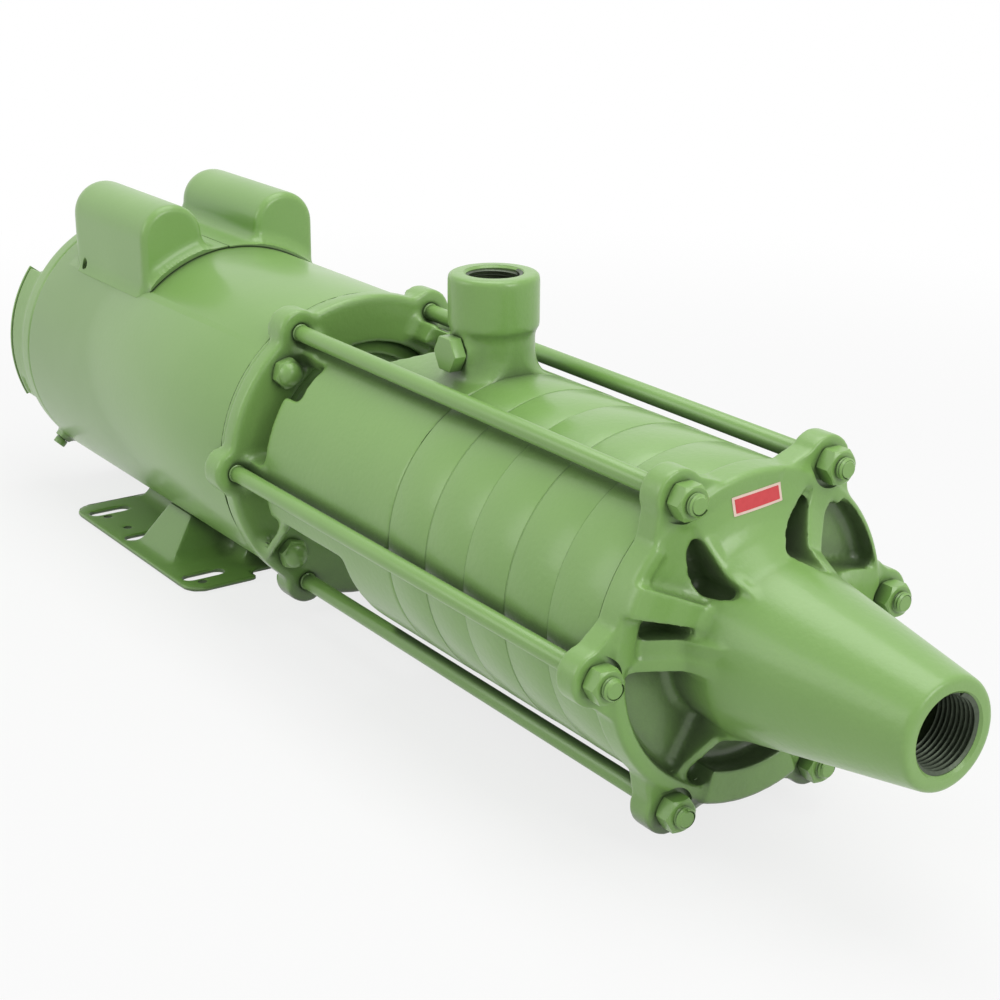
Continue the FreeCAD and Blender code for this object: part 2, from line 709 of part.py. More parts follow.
def strut(side):
    """Sloping rib from the flange beside a lower lug up to the edge of the lower window."""
    sections = []
    foot = (X_FLANGE - 1, STRUT_FOOT_RADIUS, STRUT_FOOT)
    top = (X_SLOT + STRUT_REACH, BARREL_RADIUS, STRUT_TOP)
    for x, radius, from_side in (foot, top):
        angle = math.radians(270 + side * from_side)
        radial = Vector(0, math.cos(angle), math.sin(angle))
        tangent = Vector(0, -math.sin(angle), math.cos(angle)) * (STRUT_THICKNESS / 2)
        outer = Vector(x, 0, 0) + radial * radius
        inner = Vector(x, 0, 0) + radial * (radius - STRUT_DEPTH)
        points = [outer - tangent, outer + tangent, inner + tangent, inner - tangent]
        sections.append(Part.makePolygon(points + points[:1]))
    return Part.makeLoft(sections, True, True)


def tie_rods():
    solids = []
    for angle in even(ROD_COUNT):
        rod = disc(X_MOTOR + 0.5, X_FLANGE, ROD_THREAD_RADIUS, y=ROD_CIRCLE)
        rod = rod.fuse(disc(X_FLANGE, X_COVER_BACK - 2, ROD_RADIUS, y=ROD_CIRCLE))
        rod = rod.fuse(disc(X_COVER_BACK - 2, X_ROD_END, ROD_THREAD_RADIUS, y=ROD_CIRCLE))
        solids.append(turn(rod, angle))
    return solids


def tie_rod_nuts():
    nut = hexagon(X_EAR, X_EAR + NUT_HEIGHT, NUT_FLATS, y=ROD_CIRCLE, bore=ROD_THREAD_RADIUS + 0.01)
    return around(nut, even(ROD_COUNT))


def bracket_studs():
    stud = disc(X_MOTOR - STUD_DEPTH, X_FLANGE + STUD_STANDOUT, STUD_RADIUS, y=STUD_CIRCLE)
    return around(stud, even(STUD_COUNT, 45))


def bracket_nuts():
    nut = hexagon(X_FLANGE, X_FLANGE + NUT_HEIGHT, NUT_FLATS, y=STUD_CIRCLE, bore=STUD_RADIUS + 0.01)
    return around(nut, even(STUD_COUNT, 45))


def seal_seat():
    return turned([
        (X_WALL - SEAT_DEPTH, SHAFT_RADIUS + 1.5),
        (X_WALL - SEAT_DEPTH, SEAT_RADIUS - FIT_CLEARANCE),
        (X_WALL - 1, SEAT_RADIUS - FIT_CLEARANCE),
        (X_WALL + 1, SEAL_RADIUS - 1.5),
        (X_WALL + 1, SHAFT_RADIUS + 1.5),
    ])


def seal_head():
    front = X_WALL + 1
    return [
        turned([
            (front, SHAFT_RADIUS + 0.8),
            (front, SEAL_RADIUS - 2.0),
            (front + 4, SEAL_RADIUS - 2.0),
            (front + 4, SEAL_RADIUS),
            (front + 11, SEAL_RADIUS),
            (front + 11, SHAFT_RADIUS),
            (front + 4, SHAFT_RADIUS),
            (front + 4, SHAFT_RADIUS + 0.8),
        ]),
        turned([
            (front + SEAL_LENGTH - 2, SHAFT_RADIUS),
            (front + SEAL_LENGTH - 2, SEAL_RADIUS),
            (front + SEAL_LENGTH, SEAL_RADIUS),
            (front + SEAL_LENGTH, SHAFT_RADIUS),
        ]),
    ]


def pump_shaft():
    solid = turned([
        (X_SHAFT_JOINT + 0.5, 0),
        (X_SHAFT_JOINT + 0.5, SHAFT_RADIUS - 0.5),
        (X_SHAFT_JOINT + 1.0, SHAFT_RADIUS),
        (X_STACK_END, SHAFT_RADIUS),
        (X_STACK_END, JOURNAL_RADIUS),
        (X_STACK_FRONT, JOURNAL_RADIUS),
        (X_STACK_FRONT, SHAFT_END_RADIUS),
        (X_STACK_FRONT + 14, SHAFT_END_RADIUS),
        (X_STACK_FRONT + 14, 0),
    ])
    return solid.cut(key_slot(X_STACK_END + 1, X_STACK_FRONT))


def impeller_key():
    return key_slot(X_STACK_END + 1, X_STACK_FRONT - 0.5)


def impeller_nut():
    washer = disc(X_STACK_FRONT, X_STACK_FRONT + 2, HUB_OUTER, SHAFT_END_RADIUS + 0.3)
    nut = hexagon(X_STACK_FRONT + 2, X_STACK_FRONT + 11, 18.0, bore=SHAFT_END_RADIUS + 0.01)
    return [washer, nut]


def motor_shaft():
    tail = X_REAR_BEARING - REAR_BEARING_WIDTH - 6
    return turned([
        (tail, 0),
        (tail, REAR_BEARING_BORE - 1),
        (tail + 1, REAR_BEARING_BORE),
        (X_REAR_BEARING, REAR_BEARING_BORE),
        (X_REAR_BEARING, CORE_SEAT_RADIUS),
        (X_FRONT_BEARING - FRONT_BEARING_WIDTH, CORE_SEAT_RADIUS),
        (X_FRONT_BEARING - FRONT_BEARING_WIDTH, FRONT_BEARING_BORE),
        (X_FRONT_BEARING, FRONT_BEARING_BORE),
        (X_FRONT_BEARING, FRONT_BEARING_BORE - 1),
        (X_MOTOR, FRONT_BEARING_BORE - 1),
        (X_MOTOR, MOTOR_SHAFT_RADIUS),
        (X_SHAFT_JOINT - 1.0, MOTOR_SHAFT_RADIUS),
        (X_SHAFT_JOINT - 0.5, MOTOR_SHAFT_RADIUS - 0.5),
        (X_SHAFT_JOINT - 0.5, 0),
    ])


def set_screw_spots():
    stations = (X_SHAFT_JOINT - COUPLING_LENGTH / 4, X_SHAFT_JOINT + COUPLING_LENGTH / 4)
    return [(x, angle) for x in stations for angle in (0, 90)]


def radial_pin(x, angle, low, high, radius):
    """Cylinder that points away from the shaft axis."""
    return turn(Part.makeCylinder(radius, high - low, Vector(x, low, 0), Vector(0, 1, 0)), angle)


def shaft_coupling():
    half = COUPLING_LENGTH / 2
    sleeve = turned([
        (X_SHAFT_JOINT - half, MOTOR_SHAFT_RADIUS + 0.02),
        (X_SHAFT_JOINT - half, COUPLING_RADIUS - 1.5),
        (X_SHAFT_JOINT - half + 1.5, COUPLING_RADIUS),
        (X_SHAFT_JOINT + half - 1.5, COUPLING_RADIUS),
        (X_SHAFT_JOINT + half, COUPLING_RADIUS - 1.5),
        (X_SHAFT_JOINT + half, SHAFT_RADIUS + 0.02),
        (X_SHAFT_JOINT, SHAFT_RADIUS + 0.02),
        (X_SHAFT_JOINT, MOTOR_SHAFT_RADIUS + 0.02),
    ])
    holes = [
        radial_pin(x, angle, 2.0, COUPLING_RADIUS + 2, SET_SCREW_RADIUS)
        for x, angle in set_screw_spots()
    ]
    return sleeve.cut(holes)


def coupling_set_screws():
    return [
        radial_pin(x, angle, SHAFT_RADIUS, COUPLING_RADIUS - 1.5, SET_SCREW_RADIUS)
        for x, angle in set_screw_spots()
    ]


def slinger():
    x = X_FLANGE + 8
    return disc(x, x - SLINGER_THICKNESS, SLINGER_RADIUS, MOTOR_SHAFT_RADIUS)


def front_endshield():
    housing_radius = FRONT_BEARING_RADIUS + HOUSING_WALL
    bearing_back = X_FRONT_BEARING - FRONT_BEARING_WIDTH
    lip_radius = FRONT_BEARING_BORE + 6
    body = turned([
        (X_MOTOR, REGISTER_RADIUS),
        (X_MOTOR, SHELL_RADIUS),
        (X_SHELL, SHELL_RADIUS),
        (X_SHELL, SHELL_BORE - FIT_CLEARANCE),
        (X_SHELL - SPIGOT_LENGTH, SHELL_BORE - FIT_CLEARANCE),
        (X_SHELL - SPIGOT_LENGTH, SHELL_BORE - SPIGOT_WALL),
        (X_SHELL - 3, SHELL_BORE - SPIGOT_WALL - 2),
        (X_SHELL - 3, REGISTER_RADIUS + 2),
        (X_SHELL - 16, housing_radius),
        (bearing_back, housing_radius),
        (bearing_back, FRONT_BEARING_RADIUS),
        (X_FRONT_BEARING, FRONT_BEARING_RADIUS),
        (X_FRONT_BEARING, lip_radius),
        (X_FRONT_BEARING + 6, lip_radius),
        (X_MOTOR - 2, REGISTER_RADIUS - REGISTER_WALL),
        (X_MOTOR + REGISTER_LENGTH, REGISTER_RADIUS - REGISTER_WALL),
        (X_MOTOR + REGISTER_LENGTH, REGISTER_RADIUS),
    ])
    boss_end = X_MOTOR - STUD_DEPTH - 3
    ribs = around(
        box((boss_end, X_SHELL - 2), (housing_radius - 2, STUD_CIRCLE), (-2.5, 2.5)),
        even(STUD_COUNT, 45),
    )
    stud_bosses = around(disc(X_SHELL - 2, boss_end, STUD_RADIUS + 3.2, y=STUD_CIRCLE), even(STUD_COUNT, 45))
    bolt_boss = disc(X_SHELL - 2, X_SHELL - BOLT_DEPTH - 3, BOLT_RADIUS + 3, y=BOLT_CIRCLE)
    bolt_bosses = around(bolt_boss, even(STUD_COUNT))
    tapped = around(disc(X_MOTOR, X_MOTOR - STUD_DEPTH, STUD_RADIUS, y=STUD_CIRCLE), even(STUD_COUNT, 45))
    bolts = around(
        disc(X_SHELL - 3, X_SHELL - BOLT_DEPTH - 4, BOLT_RADIUS, y=BOLT_CIRCLE),
        even(STUD_COUNT),
    )
    notches = [
        sector(X_SHELL, X_MOTOR, SHELL_RADIUS + 1, start, start + NOTCH_SPAN, SHELL_RADIUS - 6)
        for start in (NOTCH_START, 540 - NOTCH_START - NOTCH_SPAN)
    ]
    return body.fuse(ribs + stud_bosses + bolt_bosses).cut(notches + tapped + bolts).removeSplitter()


def motor_shell():
    shell = disc(X_SHELL, X_SHELL_END, SHELL_RADIUS, SHELL_BORE)
    drain = radial_pin(X_SHELL_END + 37, 132, SHELL_BORE - 5, SHELL_RADIUS + 5, 2.2)
    return shell.cut(lead_holes() + [drain])


def lead_holes():
    """Holes under the rear end of each capacitor cover for its wires."""
    x = X_COVER - COVER_LENGTH + SHEET + 5
    sides = (-COVER_SPACING / 2, COVER_SPACING / 2)
    return [Part.makeCylinder(3, 40, Vector(x, y, 50), Vector(0, 0, 1)) for y in sides]


def stator_core():
    core = disc(X_CORE, X_CORE_END, SHELL_BORE - 0.02, STATOR_BORE)
    notch = disc(X_CORE, X_CORE_END, BOLT_RADIUS + 1.2, y=BOLT_CIRCLE)
    grooves = [turn(disc(X_CORE, X_CORE_END, 3.2, y=STATOR_BORE + 12), angle) for angle in even(12)]
    return core.cut(around(notch, even(STUD_COUNT)) + grooves)


def stator_windings():
    coils = []
    for x, direction in ((X_CORE, 1), (X_CORE_END, -1)):
        coils.append(turned([
            (x, STATOR_BORE + 5),
            (x, STATOR_BORE + 18),
            (x + direction * WINDING_LENGTH * 0.7, STATOR_BORE + 20),
            (x + direction * WINDING_LENGTH, STATOR_BORE + 16),
            (x + direction * WINDING_LENGTH, STATOR_BORE + 9),
            (x + direction * WINDING_LENGTH * 0.7, STATOR_BORE + 4),
        ]))
    bars = [turn(disc(X_CORE, X_CORE_END, 3.1, y=STATOR_BORE + 12), angle) for angle in even(12)]
    return coils[0].fuse(bars + [coils[1]])


def rotor_core():
    core = disc(X_CORE, X_CORE_END, STATOR_BORE - AIR_GAP, CORE_SEAT_RADIUS)
    rings = [
        disc(X_CORE, X_CORE + 9, STATOR_BORE - 4, STATOR_BORE - 18),
        disc(X_CORE_END, X_CORE_END - 9, STATOR_BORE - 4, STATOR_BORE - 18),
    ]
    fin = box((X_CORE + 8, X_CORE + 20), (STATOR_BORE - 17, STATOR_BORE - 5), (-1, 1))
    fins = around(fin, even(8))
    rear_fin = box((X_CORE_END - 20, X_CORE_END - 8), (STATOR_BORE - 17, STATOR_BORE - 5), (-1, 1))
    return core.fuse(rings + fins + around(rear_fin, even(8)))


def races(x, bore, outside, width):
    """Outer and inner ring of one sealed ball bearing."""
    outer = disc(x, x - width, outside, outside - RACE_THICKNESS)
    outer = outer.fuse([
        disc(x - 0.5, x - 1.5, outside - RACE_THICKNESS + 0.5, bore + RACE_THICKNESS + 0.3),
        disc(x - width + 0.5, x - width + 1.5, outside - RACE_THICKNESS + 0.5, bore + RACE_THICKNESS + 0.3),
    ])
    inner = disc(x, x - width, bore + RACE_THICKNESS, bore)
    return outer, inner


def rear_endshield():
    outside = REAR_BEARING_RADIUS
    bearing_back = X_REAR_BEARING - REAR_BEARING_WIDTH
    rim_inner = SHELL_RADIUS - REAR_WALL
    body = turned([
        (X_SHELL_END + SPIGOT_LENGTH, SHELL_BORE - SPIGOT_WALL),
        (X_SHELL_END + SPIGOT_LENGTH, SHELL_BORE - FIT_CLEARANCE),
        (X_SHELL_END, SHELL_BORE - FIT_CLEARANCE),
        (X_SHELL_END, SHELL_RADIUS),
        (X_REAR + 6, SHELL_RADIUS - 0.8),
        (X_REAR + 1.5, SHELL_RADIUS - 3),
        (X_REAR, SHELL_RADIUS - 7),
        (X_REAR, outside + 14),
        (X_REAR - 3, outside + 4),
        (X_REAR - 3, 0),
        (X_REAR + 3, 0),
        (X_REAR + 3, outside - 2),
        (bearing_back, outside - 2),
        (bearing_back, outside),
        (X_REAR_BEARING, outside),
        (X_REAR_BEARING, outside + HOUSING_WALL),
        (X_REAR + REAR_WALL, outside + HOUSING_WALL + 2),
        (X_REAR + REAR_WALL, rim_inner - 3),
        (X_SHELL_END - 4, rim_inner),
    ])
    x_box = X_REAR - BOX_DEPTH
    outer_radius = SHELL_RADIUS - 2
    walls = sector(X_REAR + 4, x_box + SHEET, outer_radius, BOX_START, BOX_END, BOX_INNER_RADIUS)
    wall_angle = math.degrees(BOX_WALL / outer_radius)
    pocket = sector(
        x_box, X_REAR + 2, outer_radius - BOX_WALL, BOX_START + wall_angle, BOX_END - wall_angle,
        BOX_INNER_RADIUS + BOX_WALL,
    )
    screw_bosses = [
        turn(disc(x_box + SHEET, X_REAR + 2, 4.0, y=y), angle) for y, angle in cover_screw_spots()
    ]
    screw_holes = [
        turn(disc(x_box, x_box + SHEET + 8, 1.6, y=y), angle) for y, angle in cover_screw_spots()
    ]
    lead_radii = (SHELL_RADIUS - 16, BOX_INNER_RADIUS + 16)
    lead_way = sector(X_REAR + 9, X_REAR - 2, lead_radii[0], BOX_START + 20, BOX_END - 20, lead_radii[1])
    slot = turn(
        box((x_box + 7, x_box + 11), (SHELL_RADIUS - 12, SHELL_RADIUS + 5), (-6, 6)), BOX_END - 6
    )
    vents = []
    for angle in (20, 50, 80, 110, 230, 260, 290, 320):
        vents.append(turn(box((X_REAR - 4, X_REAR + 8), (outside + 26, rim_inner - 14), (-3, 3)), angle))
    bolt_bosses = around(
        disc(X_REAR + 1, X_SHELL_END + SPIGOT_LENGTH, BOLT_RADIUS + 3, y=BOLT_CIRCLE), even(STUD_COUNT)
    )
    bolt_holes = around(
        disc(X_REAR - 1, X_SHELL_END + SPIGOT_LENGTH + 1, BOLT_RADIUS + 0.3, y=BOLT_CIRCLE), even(STUD_COUNT)
    )
    head_seat = disc(X_REAR + 2, X_REAR - 6, BOLT_HEAD_FLATS / 2 + 1.6, y=BOLT_CIRCLE)
    head_seats = around(head_seat, even(STUD_COUNT))
    ground = turn(
        box((X_REAR + 2, X_REAR + 12), (SHELL_RADIUS - 6, SHELL_RADIUS + GROUND_BOSS), (-4, 4)), GROUND_ANGLE
    )
    boss_top = SHELL_RADIUS + GROUND_BOSS
    ground_hole = radial_pin(X_REAR + 7, GROUND_ANGLE, SHELL_RADIUS - 4, boss_top + 1, 2.0)
    body = body.fuse([walls, ground] + bolt_bosses).cut(pocket).fuse(screw_bosses)
    openings = [lead_way, slot, ground_hole] + vents + head_seats + bolt_holes + screw_holes
    return body.cut(openings).removeSplitter()


def cover_screw_spots():
    """Radius and angle of the two terminal cover screws."""
    return [(BOX_INNER_RADIUS + 6, BOX_START + 8), (BOX_INNER_RADIUS + 6, BOX_END - 8)]


def ground_screw():
    seat = SHELL_RADIUS + GROUND_BOSS
    shank = radial_pin(X_REAR + 7, GROUND_ANGLE, SHELL_RADIUS - 3, seat, 2.0)
    return shank.fuse(radial_pin(X_REAR + 7, GROUND_ANGLE, seat, seat + 4, 4.0))


def terminal_cover():
    x = X_REAR - BOX_DEPTH + SHEET
    plate = sector(x, x - SHEET, SHELL_RADIUS - 1.6, BOX_START - 0.5, BOX_END + 0.5, BOX_INNER_RADIUS - 1)
    return plate.cut([turn(disc(x + 1, x - 3, 2.0, y=y), angle) for y, angle in cover_screw_spots()])


def terminal_cover_screws():
    x = X_REAR - BOX_DEPTH
    screw = disc(x, x - 2.5, 3.5).fuse(disc(x, x + SHEET + 7, 1.6))
    return [turn(screw.translated(Vector(0, y, 0)), angle) for y, angle in cover_screw_spots()]


def motor_through_bolts():
    head = hexagon(X_REAR + 2, X_REAR - 2, BOLT_HEAD_FLATS, y=BOLT_CIRCLE)
    shank = disc(X_REAR + 2, X_SHELL - BOLT_DEPTH + 7, BOLT_RADIUS, y=BOLT_CIRCLE)
    return around(head.fuse(shank), even(STUD_COUNT))


def switch_board():
    x = X_REAR_BEARING + SWITCH_GAP
    plate_radius = SHELL_BORE - SWITCH_BOARD_MARGIN
    plate = disc(x, x - 2, plate_radius, REAR_BEARING_RADIUS + HOUSING_WALL)
    posts = around(disc(x - 2, X_REAR + REAR_WALL, 4, y=plate_radius - 6), (35, 135, 245))
    return plate.fuse(posts)


def governor():
    x = X_REAR_BEARING + GOVERNOR_GAP
    middle = x + GOVERNOR_LENGTH / 2
    bore = CORE_SEAT_RADIUS + FIT_CLEARANCE
    return turned([
        (x, bore),
        (x, GOVERNOR_RADIUS - 4),
        (x + 4, GOVERNOR_RADIUS),
        (middle, GOVERNOR_RADIUS),
        (middle, GOVERNOR_RADIUS - 6),
        (x + GOVERNOR_LENGTH, GOVERNOR_RADIUS - 6),
        (x + GOVERNOR_LENGTH, bore),
    ])


def capacitor_cover(y):
    """Pill shaped sheet cover that sits on the saddle, open below."""
    outer = arch(X_COVER, X_COVER - COVER_LENGTH, y, COVER_RADIUS)
    inner = arch(X_COVER - SHEET, X_COVER - COVER_LENGTH + SHEET, y, COVER_RADIUS - SHEET)
    curved = [edge for edge in outer.Edges if isinstance(edge.Curve, Part.Circle)]
    outer = outer.makeFillet(COVER_ROUNDING, curved)
    seat = disc(X_COVER + 20, X_COVER - COVER_LENGTH - 20, SHELL_RADIUS + SHEET)
    return outer.cut(inner).cut(seat)


def arch(x_front, x_back, y, radius):
    centre_z = COVER_TOP - COVER_RADIUS
    low = Vector(x_front, y - radius, 40)
    left = Vector(x_front, y - radius, centre_z)
    top = Vector(x_front, y, centre_z + radius)
    right = Vector(x_front, y + radius, centre_z)
    floor = Vector(x_front, y + radius, 40)
    edges = [
        Part.LineSegment(low, left).toShape(),
        Part.Arc(left, top, right).toShape(),
        Part.LineSegment(right, floor).toShape(),
        Part.LineSegment(floor, low).toShape(),
    ]
    return Part.Face(Part.Wire(edges)).extrude(Vector(x_back - x_front, 0, 0))


def capacitor_saddle():
    start = 90 - SADDLE_HALF_ANGLE
    end = 90 + SADDLE_HALF_ANGLE
    sheet = sector(X_SADDLE, X_SADDLE - SADDLE_LENGTH, SHELL_RADIUS + SHEET, start, end, SHELL_RADIUS)
    return sheet.cut(lead_holes())


def capacitor(y):
    x_back = X_COVER - COVER_LENGTH + CAPACITOR_REAR_GAP
    centre_z = COVER_TOP - COVER_RADIUS
    can = disc(X_COVER - CAPACITOR_FRONT_GAP, x_back, CAPACITOR_RADIUS, y=y, z=centre_z)
    posts = [disc(x_back, x_back - 4, 1.5, y=y + offset, z=centre_z) for offset in (-5, 5)]
    return can.fuse(posts)


def motor_base():
    """Pressed foot: a plate, a channel along it that carries the shell, and two wings that brace it."""
    x_back = X_FOOT - FOOT_LENGTH
    plate = box((x_back, X_FOOT), (-FOOT_HALF_WIDTH, FOOT_HALF_WIDTH), (FOOT_FACE, FOOT_FACE + FOOT_SHEET))
    plate = plate.makeFillet(FOOT_CORNER, [edge for edge in plate.Edges if is_upright(edge)])
    recess = box(
        (X_FOOT - FOOT_RECESS_DEPTH, X_FOOT + 1),
        (-FOOT_RECESS_HALF_WIDTH, FOOT_RECESS_HALF_WIDTH),
        (FOOT_FACE - 1, FOOT_FACE + FOOT_SHEET + 1),
    )
    channel = (x_back + 4, X_FOOT - CHANNEL_FRONT_INSET, CHANNEL_HALF_WIDTH, CHANNEL_HEIGHT)
    wing_front = X_FOOT - WING_FRONT_INSET
    wings = (wing_front - WING_LENGTH, wing_front, WING_HALF_WIDTH, WING_HEIGHT)
    body = plate.cut(recess).fuse([pressed(0, *channel), pressed(0, *wings)])
    body = body.cut([pressed(FOOT_SHEET, *channel), pressed(FOOT_SHEET, *wings)])
    return body.cut(disc(X_SHELL, X_SHELL_END, SHELL_RADIUS)).cut(slots() + small_holes())


def is_upright(edge):
    ends = [vertex.Point for vertex in edge.Vertexes]
    return abs(ends[0].x - ends[1].x) < 1e-6 and abs(ends[0].y - ends[1].y) < 1e-6


def pressed(sheet, x_back, x_front, half_width, height):
    """Raised form with leaning sides; with a sheet thickness it is the hollow below that form."""
    low = FOOT_FACE - sheet
    high = FOOT_FACE + FOOT_SHEET + height - sheet
    sections = []
    for z in (low, high):
        rise = z - FOOT_FACE
        y = half_width - rise * SIDE_LEAN - sheet
        x_low = x_back + rise * END_LEAN + sheet
        x_high = x_front - rise * END_LEAN - sheet
        points = [Vector(x_low, -y, z), Vector(x_high, -y, z), Vector(x_high, y, z), Vector(x_low, y, z)]
        sections.append(Part.makePolygon(points + points[:1]))
    return Part.makeLoft(sections, True, True)


def foot_cutter(radius, x, y):
    return Part.makeCylinder(radius, FOOT_SHEET + 2, Vector(x, y, FOOT_FACE - 1), Vector(0, 0, 1))


def slots():
    cuts = []
    straight = (SLOT_LENGTH - SLOT_WIDTH) / 2
    for step in SLOT_STEPS:
        x = X_FOOT - SLOT_FRONT_INSET - step
        for side in (-1, 1):
            y = side * SLOT_SPAN / 2
            cuts.append(box(
                (x - SLOT_WIDTH / 2, x + SLOT_WIDTH / 2),
                (y - straight, y + straight),
                (FOOT_FACE - 1, FOOT_FACE + FOOT_SHEET + 1),
            ))
            cuts += [foot_cutter(SLOT_WIDTH / 2, x, y + end * straight) for end in (-1, 1)]
    return cuts


def small_holes():
    x = X_FOOT - SLOT_FRONT_INSET
    return [foot_cutter(HOLE_RADIUS, x - step, side * y) for step, y in HOLE_SPOTS for side in (-1, 1)]


export("suction_cover", suction_cover())
for index in range(RING_COUNT):
    export(f"stage_casing_{index + 1}", stage_casing(index))
    export(f"diffuser_{index + 1}", diffuser(index))
for index in range(RING_COUNT + 1):
    export(f"impeller_{index + 1}", impeller(index))
export("stage_gaskets", gaskets())
export("impeller_spacers", spacers())
export("interstage_bushes", bushes())
export("wear_rings", wear_rings())
export("discharge_casing", discharge_casing())
export("priming_plug", priming_plug())
export("tie_rods", tie_rods())
export("tie_rod_nuts", tie_rod_nuts())
export("bracket_studs", bracket_studs())
export("bracket_nuts", bracket_nuts())
export("seal_seat", seal_seat())
export("seal_head", seal_head())
export("pump_shaft", pump_shaft())
export("motor_shaft", motor_shaft())
export("shaft_coupling", shaft_coupling())
export("coupling_set_screws", coupling_set_screws())
export("impeller_key", impeller_key())
export("impeller_nut", impeller_nut())
export("slinger", slinger())
export("front_endshield", front_endshield())
export("motor_shell", motor_shell())
export("stator_core", stator_core())
export("stator_windings", stator_windings())
export("rotor_core", rotor_core())
front_outer, front_inner = races(
    X_FRONT_BEARING, FRONT_BEARING_BORE, FRONT_BEARING_RADIUS, FRONT_BEARING_WIDTH
)
rear_outer, rear_inner = races(X_REAR_BEARING, REAR_BEARING_BORE, REAR_BEARING_RADIUS, REAR_BEARING_WIDTH)
export("front_bearing_outer", front_outer)
export("front_bearing_inner", front_inner)
export("rear_bearing_outer", rear_outer)
export("rear_bearing_inner", rear_inner)
export("rear_endshield", rear_endshield())
export("terminal_cover", terminal_cover())
export("terminal_cover_screws", terminal_cover_screws())
export("motor_through_bolts", motor_through_bolts())
export("ground_screw", ground_screw())
export("switch_board", switch_board())
export("governor", governor())
export("capacitor_saddle", capacitor_saddle())
export("start_capacitor_cover", capacitor_cover(-COVER_SPACING / 2))
export("run_capacitor_cover", capacitor_cover(COVER_SPACING / 2))
export("start_capacitor", capacitor(-COVER_SPACING / 2))
export("run_capacitor", capacitor(COVER_SPACING / 2))
export("motor_base", motor_base())
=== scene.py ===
import math

import bmesh
import bpy
from mathutils import Matrix, Vector


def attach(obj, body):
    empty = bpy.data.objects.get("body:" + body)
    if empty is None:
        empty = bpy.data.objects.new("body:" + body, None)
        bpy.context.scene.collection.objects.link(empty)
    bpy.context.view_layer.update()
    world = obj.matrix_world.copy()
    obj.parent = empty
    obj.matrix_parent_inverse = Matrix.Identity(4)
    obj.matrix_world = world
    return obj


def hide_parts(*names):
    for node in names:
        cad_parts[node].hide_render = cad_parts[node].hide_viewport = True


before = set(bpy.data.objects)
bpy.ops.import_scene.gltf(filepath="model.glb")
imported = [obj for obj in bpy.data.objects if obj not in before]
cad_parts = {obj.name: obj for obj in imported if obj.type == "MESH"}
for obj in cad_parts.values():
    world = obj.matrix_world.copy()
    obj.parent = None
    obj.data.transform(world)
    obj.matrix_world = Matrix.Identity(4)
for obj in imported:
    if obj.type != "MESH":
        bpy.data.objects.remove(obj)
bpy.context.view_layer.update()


# Green enamel: pump and motor are sprayed together with one glossy coat after assembly. On the iron
# castings it follows the sand skin below it, on sheet and bar it lies smooth with a light orange peel.

class Wire:
    """Output of a shader node; arithmetic on it adds the Math nodes that work it out."""

    def __init__(self, coat, socket):
        self.coat = coat
        self.socket = socket

    def math(self, operation, first, second):
        return self.coat.node("Math", {"operation": operation}, {0: first, 1: second})

    def __add__(self, other):
        return self.math("ADD", self, other)

    def __mul__(self, other):
        return self.math("MULTIPLY", self, other)

    def __sub__(self, other):
        return self.math("SUBTRACT", self, other)

    def __rsub__(self, other):
        return self.math("SUBTRACT", other, self)

    __radd__ = __add__
    __rmul__ = __mul__


class Finish:
    """Node tree of a material or world; every node in it comes from the method node."""

    def __init__(self, owner):
        self.owner = owner
        owner.use_nodes = True
        self.tree = owner.node_tree
        self.tree.nodes.clear()

    def node(self, kind, settings, sockets, out=0):
        node = self.tree.nodes.new("ShaderNode" + kind)
        for key, value in settings.items():
            setattr(node, key, value)
        for key, value in sockets.items():
            if isinstance(value, Wire):
                self.tree.links.new(value.socket, node.inputs[key])
            else:
                node.inputs[key].default_value = value
        return Wire(self, node.outputs[out]) if node.outputs else None

    def place(self):
        """Object coordinates."""
        return self.node("TexCoord", {}, {}, "Object")

    def noise(self, size, detail=2.0):
        """Soft noise with features of about that many metres."""
        return self.node("TexNoise", {}, {"Vector": self.place(), "Scale": 1 / size, "Detail": detail})

    def stretched(self, across, along):
        """Noise drawn out round the shaft, with one size along it and one around it."""
        scale = (1 / across, 1 / along, 1 / along)
        vector = self.node("Mapping", {}, {"Vector": self.place(), "Scale": scale})
        return self.node("TexNoise", {}, {"Vector": vector, "Scale": 1.0, "Detail": 2.0})

    def step(self, wire, low, high):
        """Ramp from 0 to 1 between two values."""
        return self.node("MapRange", {"interpolation_type": "SMOOTHSTEP"}, {
            "Value": wire, "From Min": low, "From Max": high,
        })

    def blend(self, amount, first, second):
        return self.node("Mix", {"data_type": "RGBA"}, {0: amount, 6: first, 7: second}, 2)

    def bump(self, height):
        """Relief in metres."""
        return self.node("Bump", {}, {"Strength": 1.0, "Distance": 1.0, "Height": height})

    def surface(self, sockets):
        self.node("OutputMaterial", {}, {"Surface": self.node("BsdfPrincipled", {}, sockets)})
        return self.owner


def finish(name):
    """Empty material to build a finish in."""
    return Finish(bpy.data.materials.new(name))


GREEN_DARK = (0.165, 0.322, 0.074, 1)
GREEN_LIGHT = (0.222, 0.395, 0.108, 1)
# Painted shade: these two darker greens stand in for the shade that falls in hollows and in tight corners.
HOLLOW_SHADE_GREEN = (0.07, 0.1, 0.05, 1)
CORNER_SHADE_GREEN = (0.085, 0.152, 0.05, 1)
CORNER_SHADE_REACH = 0.012


